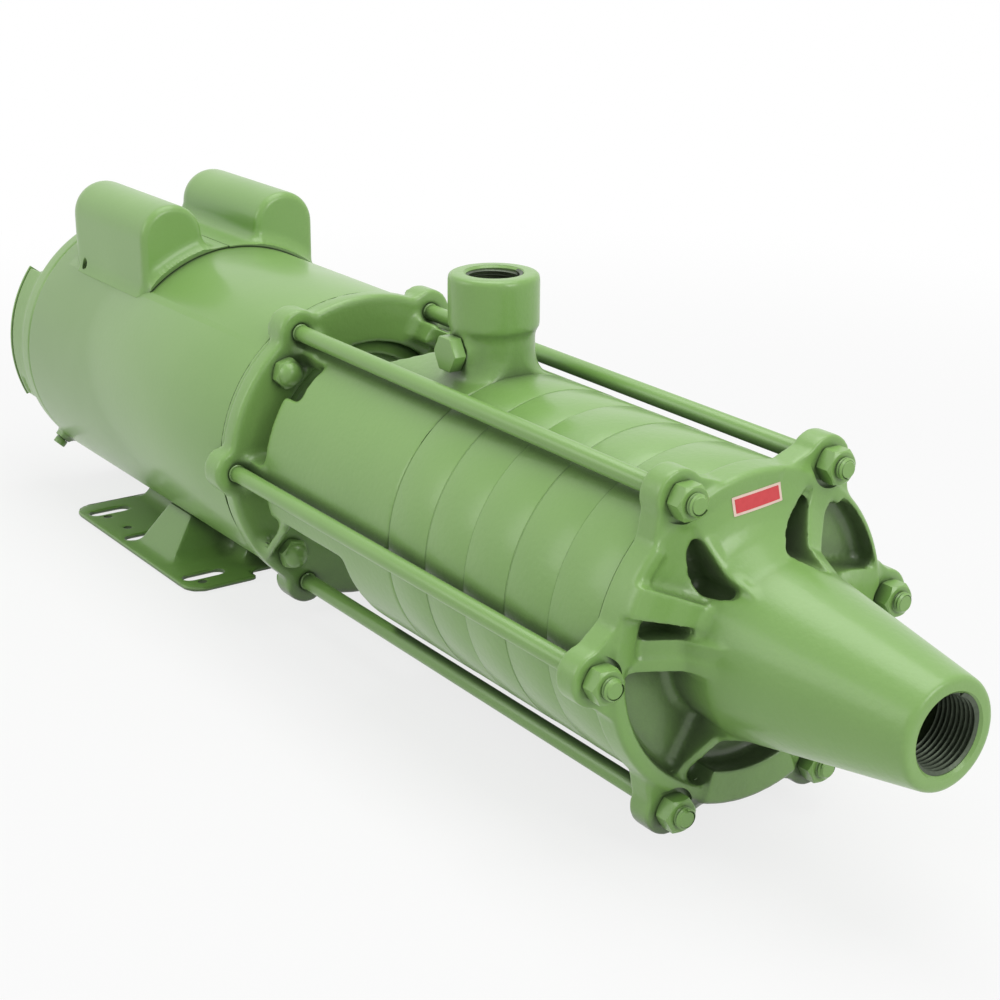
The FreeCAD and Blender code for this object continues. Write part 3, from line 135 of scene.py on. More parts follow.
def enamel(name, skin_size, skin_depth, reach):
    """Green coat over a skin of some grain, with painted shade that darkens corners and hollows as deep as
    the reach.
    """
    paint = finish(name)
    cloud = paint.noise(0.06, 2.0)
    fleck = paint.noise(0.0016, 1.0)
    mottle = cloud * 0.8 + fleck * 0.2
    colour = paint.blend(mottle, GREEN_DARK, GREEN_LIGHT)
    # Painted shade: short ambient occlusion darkens tight corners and creases in the base colour.
    corner = paint.node("AmbientOcclusion", {"samples": 8}, {"Distance": CORNER_SHADE_REACH}, "AO")
    corner_shade = paint.step(corner + paint.noise(0.005) * 0.3, 0.25, 0.95)
    # Painted shade: longer ambient occlusion darkens whole pockets and hollows towards a near black green.
    hollow = paint.node("AmbientOcclusion", {"samples": 8}, {"Distance": reach}, "AO")
    clear_of_shade = paint.step(hollow + paint.noise(0.012) * 0.12, 0.34, 0.84)
    hollow_shaded_colour = paint.blend(clear_of_shade, HOLLOW_SHADE_GREEN, colour)
    skin = paint.noise(skin_size, 3.0) * skin_depth + paint.noise(0.0022, 1.0) * 0.00003
    return paint.surface({
        "Base Color": paint.blend(corner_shade, CORNER_SHADE_GREEN, hollow_shaded_colour),
        "Roughness": 0.50 - corner_shade * 0.1 - cloud * 0.08,
        "Coat Weight": 0.3,
        "Coat Roughness": 0.18,
        "Normal": paint.bump(skin),
    })


cast_green = enamel("cast_green_enamel", 0.0032, 0.00016, 0.05)
sheet_green = enamel("sheet_green_enamel", 0.018, 0.0001, 0.015)


# Suction cover: one grey iron sand casting. Six ears on the rim take the tie rods, six ribs run from
# them down to the long tapered nose, and the mouth is threaded for the suction pipe.

def closed_up(shape):
    """Welds the seams of a body and turns its faces outward."""
    bmesh.ops.remove_doubles(shape, verts=shape.verts, dist=0.0005)
    bmesh.ops.recalc_face_normals(shape, faces=shape.faces)
    return shape


def lathe(outline, closed=False, steps=160):
    """Body spun about the shaft from (station, radius) points in millimetres."""
    shape = bmesh.new()
    corners = [shape.verts.new((x, radius, 0)) for x, radius in outline]
    ends = corners[1:] + corners[:1] if closed else corners[1:]
    edges = [shape.edges.new(pair) for pair in zip(corners, ends)]
    bmesh.ops.spin(
        shape, geom=corners + edges, cent=(0, 0, 0), axis=(1, 0, 0), angle=math.tau, steps=steps,
        use_merge=True,
    )
    return closed_up(shape)


def slab(points, push):
    """Solid that a flat outline sweeps when it is pushed."""
    shape = bmesh.new()
    face = shape.faces.new([shape.verts.new(point) for point in points])
    made = bmesh.ops.extrude_face_region(shape, geom=[face], use_keep_orig=True)
    moved = [item for item in made["geom"] if isinstance(item, bmesh.types.BMVert)]
    bmesh.ops.translate(shape, vec=push, verts=moved)
    return closed_up(shape)


def slice_of(outline, start, end, steps=24):
    """Solid spun over part of a turn, between two angles about the shaft in degrees."""
    shape = bmesh.new()
    corners = [shape.verts.new((x, radius, 0)) for x, radius in outline]
    edges = [shape.edges.new(pair) for pair in zip(corners, corners[1:] + corners[:1])]
    swing = Matrix.Rotation(math.radians(start), 3, "X")
    bmesh.ops.rotate(shape, cent=(0, 0, 0), matrix=swing, verts=shape.verts)
    bmesh.ops.spin(
        shape, geom=corners + edges, cent=(0, 0, 0), axis=(1, 0, 0), angle=math.radians(end - start),
        steps=steps,
    )
    bmesh.ops.holes_fill(shape, edges=[edge for edge in shape.edges if edge.is_boundary], sides=0)
    return closed_up(shape)


def polar(radius, angle, x=0.0):
    """Spot at a radius and an angle about the shaft."""
    turned = math.radians(angle)
    return Vector((x, radius * math.cos(turned), radius * math.sin(turned)))


def trimmed(shape, rim, root, kept):
    """Cuts a solid along the shaft through two (radius, angle) spots and keeps the side of a third."""
    edge = polar(*rim)
    across = (polar(*root) - edge).cross(Vector((1, 0, 0)))
    if across.dot(polar(*kept) - edge) > 0:
        across.negate()
    whole = shape.verts[:] + shape.edges[:] + shape.faces[:]
    made = bmesh.ops.bisect_plane(shape, geom=whole, plane_co=edge, plane_no=across, clear_outer=True)
    open_edges = [item for item in made["geom_cut"] if isinstance(item, bmesh.types.BMEdge)]
    bmesh.ops.holes_fill(shape, edges=open_edges, sides=0)
    return closed_up(shape)


def rod(start, end, radius, y=0.0, segments=48):
    """Plain cylinder along the shaft direction."""
    shape = bmesh.new()
    place = Matrix.Translation(((start + end) / 2, y, 0)) @ Matrix.Rotation(math.pi / 2, 4, "Y")
    bmesh.ops.create_cone(
        shape, cap_ends=True, segments=segments, radius1=radius, radius2=radius, depth=abs(end - start),
        matrix=place,
    )
    return shape


def join(*shapes):
    """Puts several bodies into the first one."""
    whole = shapes[0]
    for shape in shapes[1:]:
        mesh = bpy.data.meshes.new("joined")
        shape.to_mesh(mesh)
        shape.free()
        whole.from_mesh(mesh)
        bpy.data.meshes.remove(mesh)
    return whole


def around(shape, angles):
    """Copies a body drawn on the +Y side to each angle about the shaft."""
    pattern = list(shape.verts) + list(shape.edges) + list(shape.faces)
    copies = []
    for angle in angles[1:]:
        made = bmesh.ops.duplicate(shape, geom=pattern)
        copies.append((angle, [item for item in made["geom"] if isinstance(item, bmesh.types.BMVert)]))
    first = [item for item in pattern if isinstance(item, bmesh.types.BMVert)]
    for angle, verts in copies + [(angles[0], first)]:
        swing = Matrix.Rotation(math.radians(angle), 3, "X")
        bmesh.ops.rotate(shape, cent=(0, 0, 0), matrix=swing, verts=verts)
    return shape


def put(shape, name):
    """Object in the scene from a body."""
    mesh = bpy.data.meshes.new(name)
    shape.to_mesh(mesh)
    shape.free()
    solid = bpy.data.objects.new(name, mesh)
    bpy.context.scene.collection.objects.link(solid)
    return solid


def worked(shape, *steps):
    """Runs modifiers over a body in order and gives the result back as a bmesh."""
    solids = [put(shape, "blank")]
    for kind, settings in steps:
        modifier = solids[0].modifiers.new(kind, kind)
        for key, value in settings.items():
            if isinstance(value, bmesh.types.BMesh):
                value = put(value, "tool")
                solids.append(value)
            setattr(modifier, key, value)
    bpy.context.view_layer.update()
    result = bmesh.new()
    result.from_object(solids[0], bpy.context.evaluated_depsgraph_get())
    for solid in solids:
        mesh = solid.data
        bpy.data.objects.remove(solid)
        bpy.data.meshes.remove(mesh)
    return result


def cut(shape, *tools, operation="DIFFERENCE"):
    """Machines a body with cutters."""
    settings = {"operation": operation, "solver": "MANIFOLD"}
    return worked(shape, *[("BOOLEAN", {**settings, "object": tool}) for tool in tools])


def cast(shape, grain, fillet, smoothing=3):
    """Makes one casting of overlapping bodies and rounds its inside corners as a mould does."""
    again = ("REMESH", {"mode": "VOXEL", "voxel_size": grain})
    return worked(
        shape,
        again,
        ("DISPLACE", {"strength": fillet, "mid_level": 0.0}),
        again,
        ("DISPLACE", {"strength": -fillet, "mid_level": 0.0}),
        ("SMOOTH", {"factor": 0.5, "iterations": smoothing}),
    )


def thread(start, pitch, turns, root, crest):
    """Helical ridge along the shaft direction, from root radius to crest radius."""
    shape = bmesh.new()
    facets = 48
    outline = [(0.0, root), (0.4 * pitch, crest), (0.55 * pitch, crest), (0.95 * pitch, root)]
    corners = [shape.verts.new((start + x, radius, 0)) for x, radius in outline]
    edges = [shape.edges.new(pair) for pair in zip(corners, corners[1:] + corners[:1])]
    steps = int(facets * turns)
    bmesh.ops.spin(
        shape, geom=corners + edges, cent=(0, 0, 0), axis=(1, 0, 0), dvec=(pitch / facets, 0, 0),
        angle=math.tau * steps / facets, steps=steps,
    )
    bmesh.ops.holes_fill(shape, edges=[edge for edge in shape.edges if edge.is_boundary], sides=0)
    return closed_up(shape)


def piece(name, shape, coating, replaced=(), body="housing", crease=40):
    """Scales a body drawn in millimetres to its place in the frame and finishes it."""
    bmesh.ops.scale(shape, vec=(0.001, 0.001, 0.001), verts=shape.verts)
    solid = put(shape, name)
    solid.data.materials.append(coating)
    solid.data.shade_smooth()
    solid.data.set_sharp_from_angle(angle=math.radians(crease))
    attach(solid, body)
    if replaced:
        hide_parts(*replaced)
    return solid


ROD_ANGLES = [0, 60, 120, 180, 240, 300]
ROD_CIRCLE = 78.9
EAR_RADIUS = 12
EAR_FACE = -111.4
COVER_BACK = -123.8
RIM_RADIUS = 73.5
POCKET_FLOOR = -119.4
BEHIND_FLOOR = -121
INSIDE_NOSE = 36
NUT_SEAT_RADIUS = 10.4
ROD_HOLE_RADIUS = 5.15

nose = lathe([
    (COVER_BACK, 0), (COVER_BACK, 72.3), (-122.6, RIM_RADIUS), (-110.4, RIM_RADIUS), (-109, 72.1),
    (-109, 67.4), (-110, 66.3), (-118.8, 64.2), (POCKET_FLOOR, 63), (POCKET_FLOOR, 45), (-118.2, 43),
    (-108, 41.9), (-100, 40.7), (-1.8, 23.6), (-0.4, 22.8), (0, 21.6), (0, 0),
])


def carved(angle, radius, outline):
    """Flat bottomed cutter that faces the shaft, from (station, sideways) points."""
    return around(slab([(x, radius, aside) for x, aside in outline], (0, 40, 0)), [angle])


nose = cut(
    nose,
    slice_of([(POCKET_FLOOR, 60), (POCKET_FLOOR, 69), (-117, 70.2), (-100, 71), (-100, 60)], 13, 48),
    carved(75, 35.5, [(POCKET_FLOOR, 8.5), (-99, 6.4), (-80.5, -2), (-84, -8), (POCKET_FLOOR, -10)]),
    carved(131, 34, [
        (POCKET_FLOOR, 7), (-105.7, 5.8), (-98, 3.6), (-90, -0.4), (-84, -3.6), (-85, -6.5),
        (POCKET_FLOOR, -9),
    ]),
    carved(163, 36.5, [(POCKET_FLOOR, -5.5), (-99.4, -5.4), (-99.3, 5.1), (-98.5, 8), (POCKET_FLOOR, 8)]),
    slice_of([(POCKET_FLOOR, 37.5), (-91.5, 39.5), (-91.5, 60), (POCKET_FLOOR, 60)], 183, 236),
)
ear_sides = [(67, -20), (71, -19.5), (80, -EAR_RADIUS), (80, EAR_RADIUS), (71, 19.5), (67, 20)]
ears = around(join(
    rod(COVER_BACK, EAR_FACE, EAR_RADIUS, y=ROD_CIRCLE),
    slab([(COVER_BACK, y, z) for y, z in ear_sides], (EAR_FACE - COVER_BACK, 0, 0)),
), ROD_ANGLES)


def rib(angle, width, shift=0.0, rise=0.0, turn=0.0):
    """Web from an ear down to the nose; shift moves it sideways, turn swings its inner end."""
    ridge = [(-111, 70), (-109.2, 60), (-103.6, 50), (-99.8, 44), (-90, 40), (-78, 35)]
    back = [(BEHIND_FLOOR, INSIDE_NOSE), (BEHIND_FLOOR, 70)]
    outline = back + [(x + rise, radius) for x, radius in ridge]
    web = slab([(x, radius, shift - width / 2) for x, radius in outline], (0, 0, width))
    swing = Matrix.Rotation(math.radians(turn), 3, "X")
    bmesh.ops.rotate(web, cent=(0, 66, 0), matrix=swing, verts=web.verts)
    return around(web, [angle])


ribs = join(
    trimmed(rib(60, 12.5, shift=-2.2, rise=1.0), (66, 52.6), (39, 54), (60, 60)),
    rib(120, 3.6, shift=-1.3, rise=0.8, turn=-8),
    rib(180, 5.5, shift=-1.5, rise=-1.2),
    rib(180, 9.5, shift=-7.5, rise=-3.2),
    rib(240, 5.0, rise=-3.0),
    rib(300, 6.0),
    rib(0, 6.0),
)
apron = slice_of([
    (BEHIND_FLOOR, INSIDE_NOSE), (BEHIND_FLOOR, RIM_RADIUS), (-110.6, RIM_RADIUS), (-109.8, 72.4),
    (-109.3, 66), (-107.8, 58), (-105.6, 52), (-102.2, 47.5), (-98, 44), (-88, INSIDE_NOSE),
], 60, 128, 44)
apron = trimmed(apron, (RIM_RADIUS, 64), (40.4, 87), (60, 95))
apron = trimmed(apron, (72, 120.5), (40, 125), (60, 95))
shoulder = slice_of([
    (BEHIND_FLOOR, INSIDE_NOSE), (BEHIND_FLOOR, RIM_RADIUS), (-111.4, RIM_RADIUS), (-110.4, 72.4),
    (-110.2, 66), (-109.6, 58), (-108, 50), (-104.5, 44), (-102.5, 41), (-102.5, INSIDE_NOSE),
], 119, 150, 24)
drop = [(62, 122), (59, 128.5), (53, 134), (47, 138), (42, 140), (34, 140), (34, 119), (61.5, 119)]
shoulder = cut(shoulder, slab([polar(radius, angle, POCKET_FLOOR) for radius, angle in drop], (40, 0, 0)))
tongue = slice_of([
    (BEHIND_FLOOR, 38), (BEHIND_FLOOR, RIM_RADIUS), (-108, RIM_RADIUS), (-105, 72.6), (-103.6, 66),
    (-102.4, 56), (-100.4, 48), (-99.2, 42), (-99.2, 38),
], 141, 162, 20)
tongue = trimmed(tongue, (70.5, 148.5), (40.4, 142.5), (60, 155))
tongue = trimmed(tongue, (74.4, 159.5), (40.1, 156.5), (60, 150))
tongue = worked(tongue, ("BEVEL", {"width": 2.2, "segments": 3}))
band = slice_of([
    (BEHIND_FLOOR, 61), (BEHIND_FLOOR, RIM_RADIUS), (-110.6, RIM_RADIUS), (-109.2, 72), (-109, 66),
    (-110, 62.4), (-112, 61),
], 157, 178, 16)
web = slice_of([
    (BEHIND_FLOOR, INSIDE_NOSE), (BEHIND_FLOOR, 70), (-109.4, 70), (-108.6, 62), (-106.4, 54),
    (-102, 46.5), (-97, 42), (-88, INSIDE_NOSE),
], -2, 42, 24)
web = trimmed(web, (68.5, 13.4), (40.5, 37), (50, 4))
pad = slice_of([
    (BEHIND_FLOOR, 58), (BEHIND_FLOOR, RIM_RADIUS), (-107.8, RIM_RADIUS), (-106.6, 72.3), (-106.6, 58.8),
    (-107.4, 58),
], 250, 292, 20)
cover = join(nose, ears, ribs, apron, shoulder, tongue, band, web, pad)
cover = cast(cover, grain=1.0, fillet=1.7, smoothing=2)
chamber = lathe([
    (COVER_BACK - 1, 0), (COVER_BACK - 1, 24.9), (-119.8, 24.9), (-119.8, 24), (-109.4, 30), (-97.4, 30),
    (-26, 16.6), (-1.2, 16.6), (0.5, 18.2), (0.5, 0),
])
nut_seats = around(rod(EAR_FACE, -90, NUT_SEAT_RADIUS, y=ROD_CIRCLE), ROD_ANGLES)
rod_holes = around(rod(-130, -90, ROD_HOLE_RADIUS, y=ROD_CIRCLE, segments=32), ROD_ANGLES)
cover = cut(cover, chamber, nut_seats, rod_holes)

dark_iron = finish("machined_iron")
dark_iron = dark_iron.surface({
    "Base Color": dark_iron.blend(dark_iron.noise(0.002), (0.045, 0.06, 0.04, 1), (0.12, 0.15, 0.10, 1)),
    "Metallic": 0.6,
    "Roughness": dark_iron.noise(0.0015) * 0.2 + 0.3,
    "Normal": dark_iron.bump(dark_iron.stretched(0.0003, 0.004) * 0.00002),
})
ridge = thread(-24.0, pitch=2.309, turns=9.2, root=16.9, crest=15.2)
piece("suction_thread", ridge, dark_iron)


# Bare plate on the apron between the two upper ears: a thin printed foil that follows the casting, with
# a pale border round a red field.

pale = finish("plate_border")
pale = pale.surface({
    "Base Color": pale.blend(pale.noise(0.004), (0.72, 0.52, 0.45, 1), (0.80, 0.62, 0.54, 1)),
    "Roughness": pale.noise(0.002) * 0.2 + 0.35,
})
red = finish("plate_red")
red = red.surface({
    "Base Color": red.blend(red.noise(0.003), (0.55, 0.035, 0.045, 1), (0.66, 0.06, 0.07, 1)),
    "Roughness": red.noise(0.002) * 0.2 + 0.3,
})
FACE_ON = Matrix(((0, 0, 1, 0), (1, 0, 0, 0), (0, 1, 0, 0), (0, 0, 0, 1)))
plate_place = Matrix.Translation((-95, -2.1, 61.4)) @ Matrix.Rotation(math.radians(4.4), 4, "X")
ground = put(cover.copy(), "ground")
for name, width, height, lift, ink in (
    ("plate_border", 26.4, 8.2, 0.22, pale), ("plate_field", 23.8, 6.0, 0.34, red),
):
    sheet = bmesh.new()
    place = plate_place @ FACE_ON @ Matrix.Diagonal((width, height, 1, 1))
    bmesh.ops.create_grid(sheet, x_segments=34, y_segments=12, size=0.5, matrix=place)
    sheet = worked(
        sheet,
        ("SHRINKWRAP", {
            "wrap_method": "PROJECT", "target": ground, "use_project_x": True,
            "use_positive_direction": False, "use_negative_direction": True, "offset": lift,
        }),
        ("SMOOTH", {"factor": 0.5, "iterations": 4}),
        ("SOLIDIFY", {"thickness": 0.2}),
    )
    piece(name, sheet, ink)
bpy.data.objects.remove(ground)
piece("suction_casting", cover, cast_green, ["suction_cover"])


# Stage rings: five turned iron rings between the covers, each with a pump stage inside. The paint
# bridges the thin gaskets of their joints, so each one shows as a fine groove.

RING_PITCH = 31.0
GASKET = 0.5
RING_BORE = 66
RING_RADIUS = 72.0
RING_BACKS = [COVER_BACK - RING_PITCH * (index + 1) for index in range(5)]

for index, back in enumerate(RING_BACKS):
    front = back + RING_PITCH - GASKET
    outside = RING_RADIUS - 0.12 * (index % 2)
    ring = lathe([
        (front, RING_BORE), (front, outside - 0.3), (front - 0.12, outside - 0.08), (front - 0.4, outside),
        (back + 0.4, outside), (back + 0.12, outside - 0.08), (back, outside - 0.3), (back, RING_BORE),
    ], closed=True, steps=192)
    piece(f"stage_ring_{index + 1}", ring, cast_green, [f"stage_casing_{index + 1}"])
gaskets = join(*[
    lathe([(x, RING_BORE), (x, 71.8), (x - GASKET, 71.8), (x - GASKET, RING_BORE)], closed=True, steps=128)
    for x in [COVER_BACK] + RING_BACKS
])
piece("gasket_edges", gaskets, cast_green, ["stage_gaskets"])


# Discharge casing and lantern: one casting that closes the stack of rings, carries the discharge hub on
# top, and reaches back as an open lantern to the flange on the motor. A hexagon plug closes the priming
# hole in the neck of the hub.

def copy_of(name):
    """CAD node as a clean body in millimetres."""
    shape = bmesh.new()
    shape.from_mesh(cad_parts[name].data)
    bmesh.ops.remove_doubles(shape, verts=shape.verts, dist=0.000002)
    bmesh.ops.scale(shape, vec=(1000, 1000, 1000), verts=shape.verts)
    return shape


def upright(shape, x):
    """Stands a body drawn along the shaft on end at a station."""
    turned = Matrix.Translation((x, 0, 0)) @ Matrix.Rotation(-math.pi / 2, 4, "Y")
    bmesh.ops.transform(shape, matrix=turned, verts=shape.verts)
    return shape


def eased(shape, width, corner=35):
    """Breaks the sharp edges of a body."""
    bmesh.ops.dissolve_limit(
        shape, angle_limit=math.radians(1), verts=shape.verts, edges=shape.edges,
        use_dissolve_boundaries=False,
    )
    inner = [edge for edge in shape.edges if len(edge.link_faces) == 2]
    sharp = [edge for edge in inner if edge.calc_face_angle() > math.radians(corner)]
    bmesh.ops.bevel(
        shape, geom=sharp, offset=width, affect="EDGES", segments=2, profile=0.5, material=-1,
        clamp_overlap=True,
    )
    return shape


NOZZLE = -298.8
NOZZLE_TOP = 117.8
PORT_RADIUS = 13.3
MOUTH_RADIUS = 14.4

casing = cast(copy_of("discharge_casing"), grain=1.45, fillet=2.4, smoothing=2)
port = upright(lathe([
    (60, 0), (60, PORT_RADIUS), (NOZZLE_TOP - 1.2, PORT_RADIUS), (NOZZLE_TOP - 0.1, MOUTH_RADIUS),
    (NOZZLE_TOP + 1, MOUTH_RADIUS), (NOZZLE_TOP + 1, 0),
], steps=96), NOZZLE)
casing = cut(casing, port, around(rod(-430, -405, 4.9, y=ROD_CIRCLE, segments=32), ROD_ANGLES))
piece("discharge_casting", casing, cast_green, ["discharge_casing"])
ridge = upright(thread(99.5, pitch=1.814, turns=9.0, root=13.6, crest=12.1), NOZZLE)
piece("discharge_thread", ridge, dark_iron)
plug = eased(copy_of("priming_plug"), 0.5)
piece("neck_plug", plug, sheet_green, ["priming_plug"], crease=30)


# Tie rods and nuts: six long steel bars clamp the stack between the cover and the bracket. Their
# ends are threaded, and a chamfered hexagon nut pulls each one up against its ear.

NUT_FLATS = 14.3
NUT_FACE = EAR_FACE + 8.3


def hexagon_nut(start, end, flats, bore):
    """Hexagon nut with both faces chamfered to a circle."""
    corner = flats / math.sqrt(3)
    prism = rod(start, end, corner, segments=6)
    bulge = lathe([
        (start, 0), (start, flats * 0.47), (start + 1.2, corner + 0.1), (end - 1.2, corner + 0.1),
        (end, flats * 0.47), (end, 0),
    ], steps=48)
    return cut(cut(prism, bulge, operation="INTERSECT"), rod(start - 1, end + 1, bore, segments=32))


def moved_out(shape, radius):
    """Moves a body drawn on the shaft out to a radius on the +Y side."""
    bmesh.ops.translate(shape, vec=(0, radius, 0), verts=shape.verts)
    return shape


bar = lathe([
    (-425, 0), (-425, 4.7), (-415, 4.7), (-414.5, 4.25), (-126, 4.25), (-125.5, 4.1), (-100.6, 4.1),
    (-99.8, 3.4), (-99.8, 0),
], steps=40)
bar = join(bar, thread(-124.0, pitch=1.5875, turns=14.6, root=4.0, crest=4.76))
piece("tie_bars", around(moved_out(bar, ROD_CIRCLE), ROD_ANGLES), sheet_green, ["tie_rods"])
nuts = around(moved_out(hexagon_nut(EAR_FACE, NUT_FACE, NUT_FLATS, 4.5), ROD_CIRCLE), ROD_ANGLES)
piece("tie_bar_nuts", nuts, sheet_green, ["tie_rod_nuts"], crease=30)


# Bracket studs and cap nuts: four studs in the scallops of the flange hold the bracket to the motor.
# Domed nuts cover their ends, so the studs themselves are out of sight.

STUD_ANGLES = [45, 135, 225, 315]
STUD_CIRCLE = 69.85
STUD_FACE = -415

dome = lathe([
    (STUD_FACE, 0), (STUD_FACE, 7.1), (-409.6, 7.1), (-409.2, 6.6), (-407.4, 6.2), (-405.6, 4.9),
    (-404.4, 3), (-403.9, 1), (-403.9, 0),
], steps=40)
acorn = moved_out(join(dome, hexagon_nut(STUD_FACE, -409.3, NUT_FLATS, 2.0)), STUD_CIRCLE)
acorns = around(acorn, STUD_ANGLES)
piece("cap_nuts", acorns, sheet_green, ["bracket_nuts", "bracket_studs"], crease=30)


# Front endshield: cast aluminium disc between the bracket and the shell. It has the round register of
# the motor's face, the seat of the front bearing and cast notches in its rim.

shield = cast(copy_of("front_endshield"), grain=1.2, fillet=1.4)
piece("front_shield", shield, cast_green, ["front_endshield"])


# Motor shell: rolled steel tube between the two endshields. A small drain hole near its rear end goes
# through the shell and through the foot of the capacitor cover that lies over it.

SHELL_RADIUS = 80.9
DRAIN = -651.3
DRAIN_ANGLE = 132

tube = lathe([
    (-430.1, 78.9), (-430.1, 80.75), (-431.2, SHELL_RADIUS), (-686.9, SHELL_RADIUS), (-687.5, 80.4),
    (-687.6, 78.9),
], closed=True, steps=192)
drain = around(upright(rod(70, 90, 2.2, segments=24), DRAIN), [DRAIN_ANGLE - 90])
piece("motor_tube", cut(tube, drain), sheet_green, ["motor_shell"])


# Rear endshield: cast aluminium cap with the terminal box grown out of its lower edge, closed by a
# pressed cover with two screws. Four long bolts pull the motor together, a fifth screw is for ground.

cap = cast(copy_of("rear_endshield"), grain=1.15, fillet=1.8)
piece("rear_shield", cap, cast_green, ["rear_endshield"])
piece("box_cover", eased(copy_of("terminal_cover"), 0.4), sheet_green, ["terminal_cover"])
for name, node in (
    ("box_screws", "terminal_cover_screws"),
    ("motor_bolts", "motor_through_bolts"),
    ("earth_screw", "ground_screw"),
):
    piece(name, eased(copy_of(node), 0.35), sheet_green, [node], crease=30)


# Capacitor covers: two deep pressings spot welded on top of the motor. Each has a flat front, a domed
# rear and a wide foot that is rolled to the shell, and the feet meet with a small step.

def pill(front, back, y, z, radius, front_edge, back_edge):
    """Upright pill shaped prism along the shaft, with its two ends rounded over."""
    shape = bmesh.new()
    bmesh.ops.create_circle(shape, cap_ends=True, segments=56, radius=radius)
    low = [vert for vert in shape.verts if vert.co.y < -0.01]
    bmesh.ops.translate(shape, vec=(0, -35, 0), verts=low)
    bmesh.ops.transform(shape, matrix=Matrix.Translation((front, y, z)) @ FACE_ON, verts=shape.verts)
    made = bmesh.ops.extrude_face_region(shape, geom=shape.faces[:], use_keep_orig=True)
    far = [item for item in made["geom"] if isinstance(item, bmesh.types.BMVert)]
    bmesh.ops.translate(shape, vec=(back - front, 0, 0), verts=far)
    closed_up(shape)
    for station, offset in ((front, front_edge), (back, back_edge)):
        end = {vert for vert in shape.verts if abs(vert.co.x - station) < 0.01}
        ring = [edge for edge in shape.edges if end.issuperset(edge.verts)]
        bmesh.ops.bevel(
            shape, geom=ring, offset=offset, affect="EDGES", segments=8, profile=0.5, material=-1,
        )
    return shape


def hood(side, inset):
    """Form of a capacitor cover, made smaller all round by the inset."""
    front, back = HOOD_FRONT - inset, HOOD_BACK + inset
    return pill(front, back, HOOD_ASIDE * side, HOOD_HEIGHT, 19 - inset, 4 - inset, 15 - inset)


def blended(side):
    """Sweep of sheet that carries the outer wall of a cover down onto the shell."""
    profile = [(55, 78), (55, 64.4), (55.4, 61.3), (56.6, 58.4), (58.3, 56.1), (56, 52), (46, 52), (46, 78)]
    return slab([(-573, y * side, z) for y, z in profile], (-86, 0, 0))


FOOT_RADIUS = 82.4
UNDER_FOOT = 72
FOOT_FRONT = -556
HOOD_FRONT = -567.8
HOOD_BACK = -674.8
HOOD_ASIDE = 36
HOOD_HEIGHT = 89.5
HOOD_SHEET = 1.5

for name, side, start, end, front, wide, tail, replaced in (
    (
        "start_cover", -1, 92.3, 136, -564.2, (86, 118), (117, 131),
        ["start_capacitor_cover", "capacitor_saddle"],
    ),
    ("run_cover", 1, 44, 92.0, -562.8, (62, 98), (49, 63), ["run_capacitor_cover"]),
):
    foot = join(*[
        slice_of([
            (FOOT_FRONT, UNDER_FOOT), (FOOT_FRONT, FOOT_RADIUS), (back, FOOT_RADIUS), (back, UNDER_FOOT),
        ], *angles, steps)
        for back, angles, steps in ((-686, wide, 24), (-660, tail, 12))
    ])
    body = cast(join(hood(side, 0), foot, blended(side)), grain=1.0, fillet=5.0, smoothing=8)
    kept = slice_of([
        (front, 81.7), (front, 130), (-679.8, 130), (-679.8, 80.95), (front - 1.6, 80.95),
        (front - 1.6, 81.7),
    ], start, end, 32)
    body = cut(body, kept, operation="INTERSECT")
    body = cut(body, hood(side, HOOD_SHEET))
    if side < 0:
        body = cut(body, around(upright(rod(70, 95, 3.0, segments=32), DRAIN), [DRAIN_ANGLE - 90]))
    piece(name, body, sheet_green, replaced)


# Foot: one pressed steel plate welded under the shell, with slotted holes along both sides, a long
# channel down its middle and two wings that rise to the shell.

FOOT_TOP = -85.9


def through(width, length, x, y):
    """Upright cutter for a slot across the foot."""
    shape = bmesh.new()
    reach = (length - width) / 2
    bmesh.ops.create_circle(shape, cap_ends=True, segments=32, radius=width / 2)
    for side in (-1, 1):
        half = [vert for vert in shape.verts if vert.co.y * side > 0.001]
        bmesh.ops.translate(shape, vec=(0, side * reach, 0), verts=half)
    bmesh.ops.translate(shape, vec=(x, y, FOOT_TOP - 10), verts=shape.verts)
    made = bmesh.ops.extrude_face_region(shape, geom=shape.faces[:], use_keep_orig=True)
    far = [item for item in made["geom"] if isinstance(item, bmesh.types.BMVert)]
    bmesh.ops.translate(shape, vec=(0, 0, 20), verts=far)
    return closed_up(shape)


SLOTS = [(-495.8, 61.9), (-572.0, 61.9), (-622.8, 61.9)]
HOLES = [(-486.8, 67), (-589.8, 65), (-613.8, 67)]

base = cast(copy_of("motor_base"), grain=1.0, fillet=4.5, smoothing=8)
openings = [through(8.7, 26, x, y * side) for x, y in SLOTS for side in (-1, 1)]
openings += [through(5.2, 5.2, x, y * side) for x, y in HOLES for side in (-1, 1)]
piece("foot", cut(base, join(*openings)), sheet_green, ["motor_base"])


# Shaft line seen through the lantern: a turned coupling sleeve joins the motor and pump shafts, and a
# rubber slinger on the motor shaft keeps drips out of the bearing.

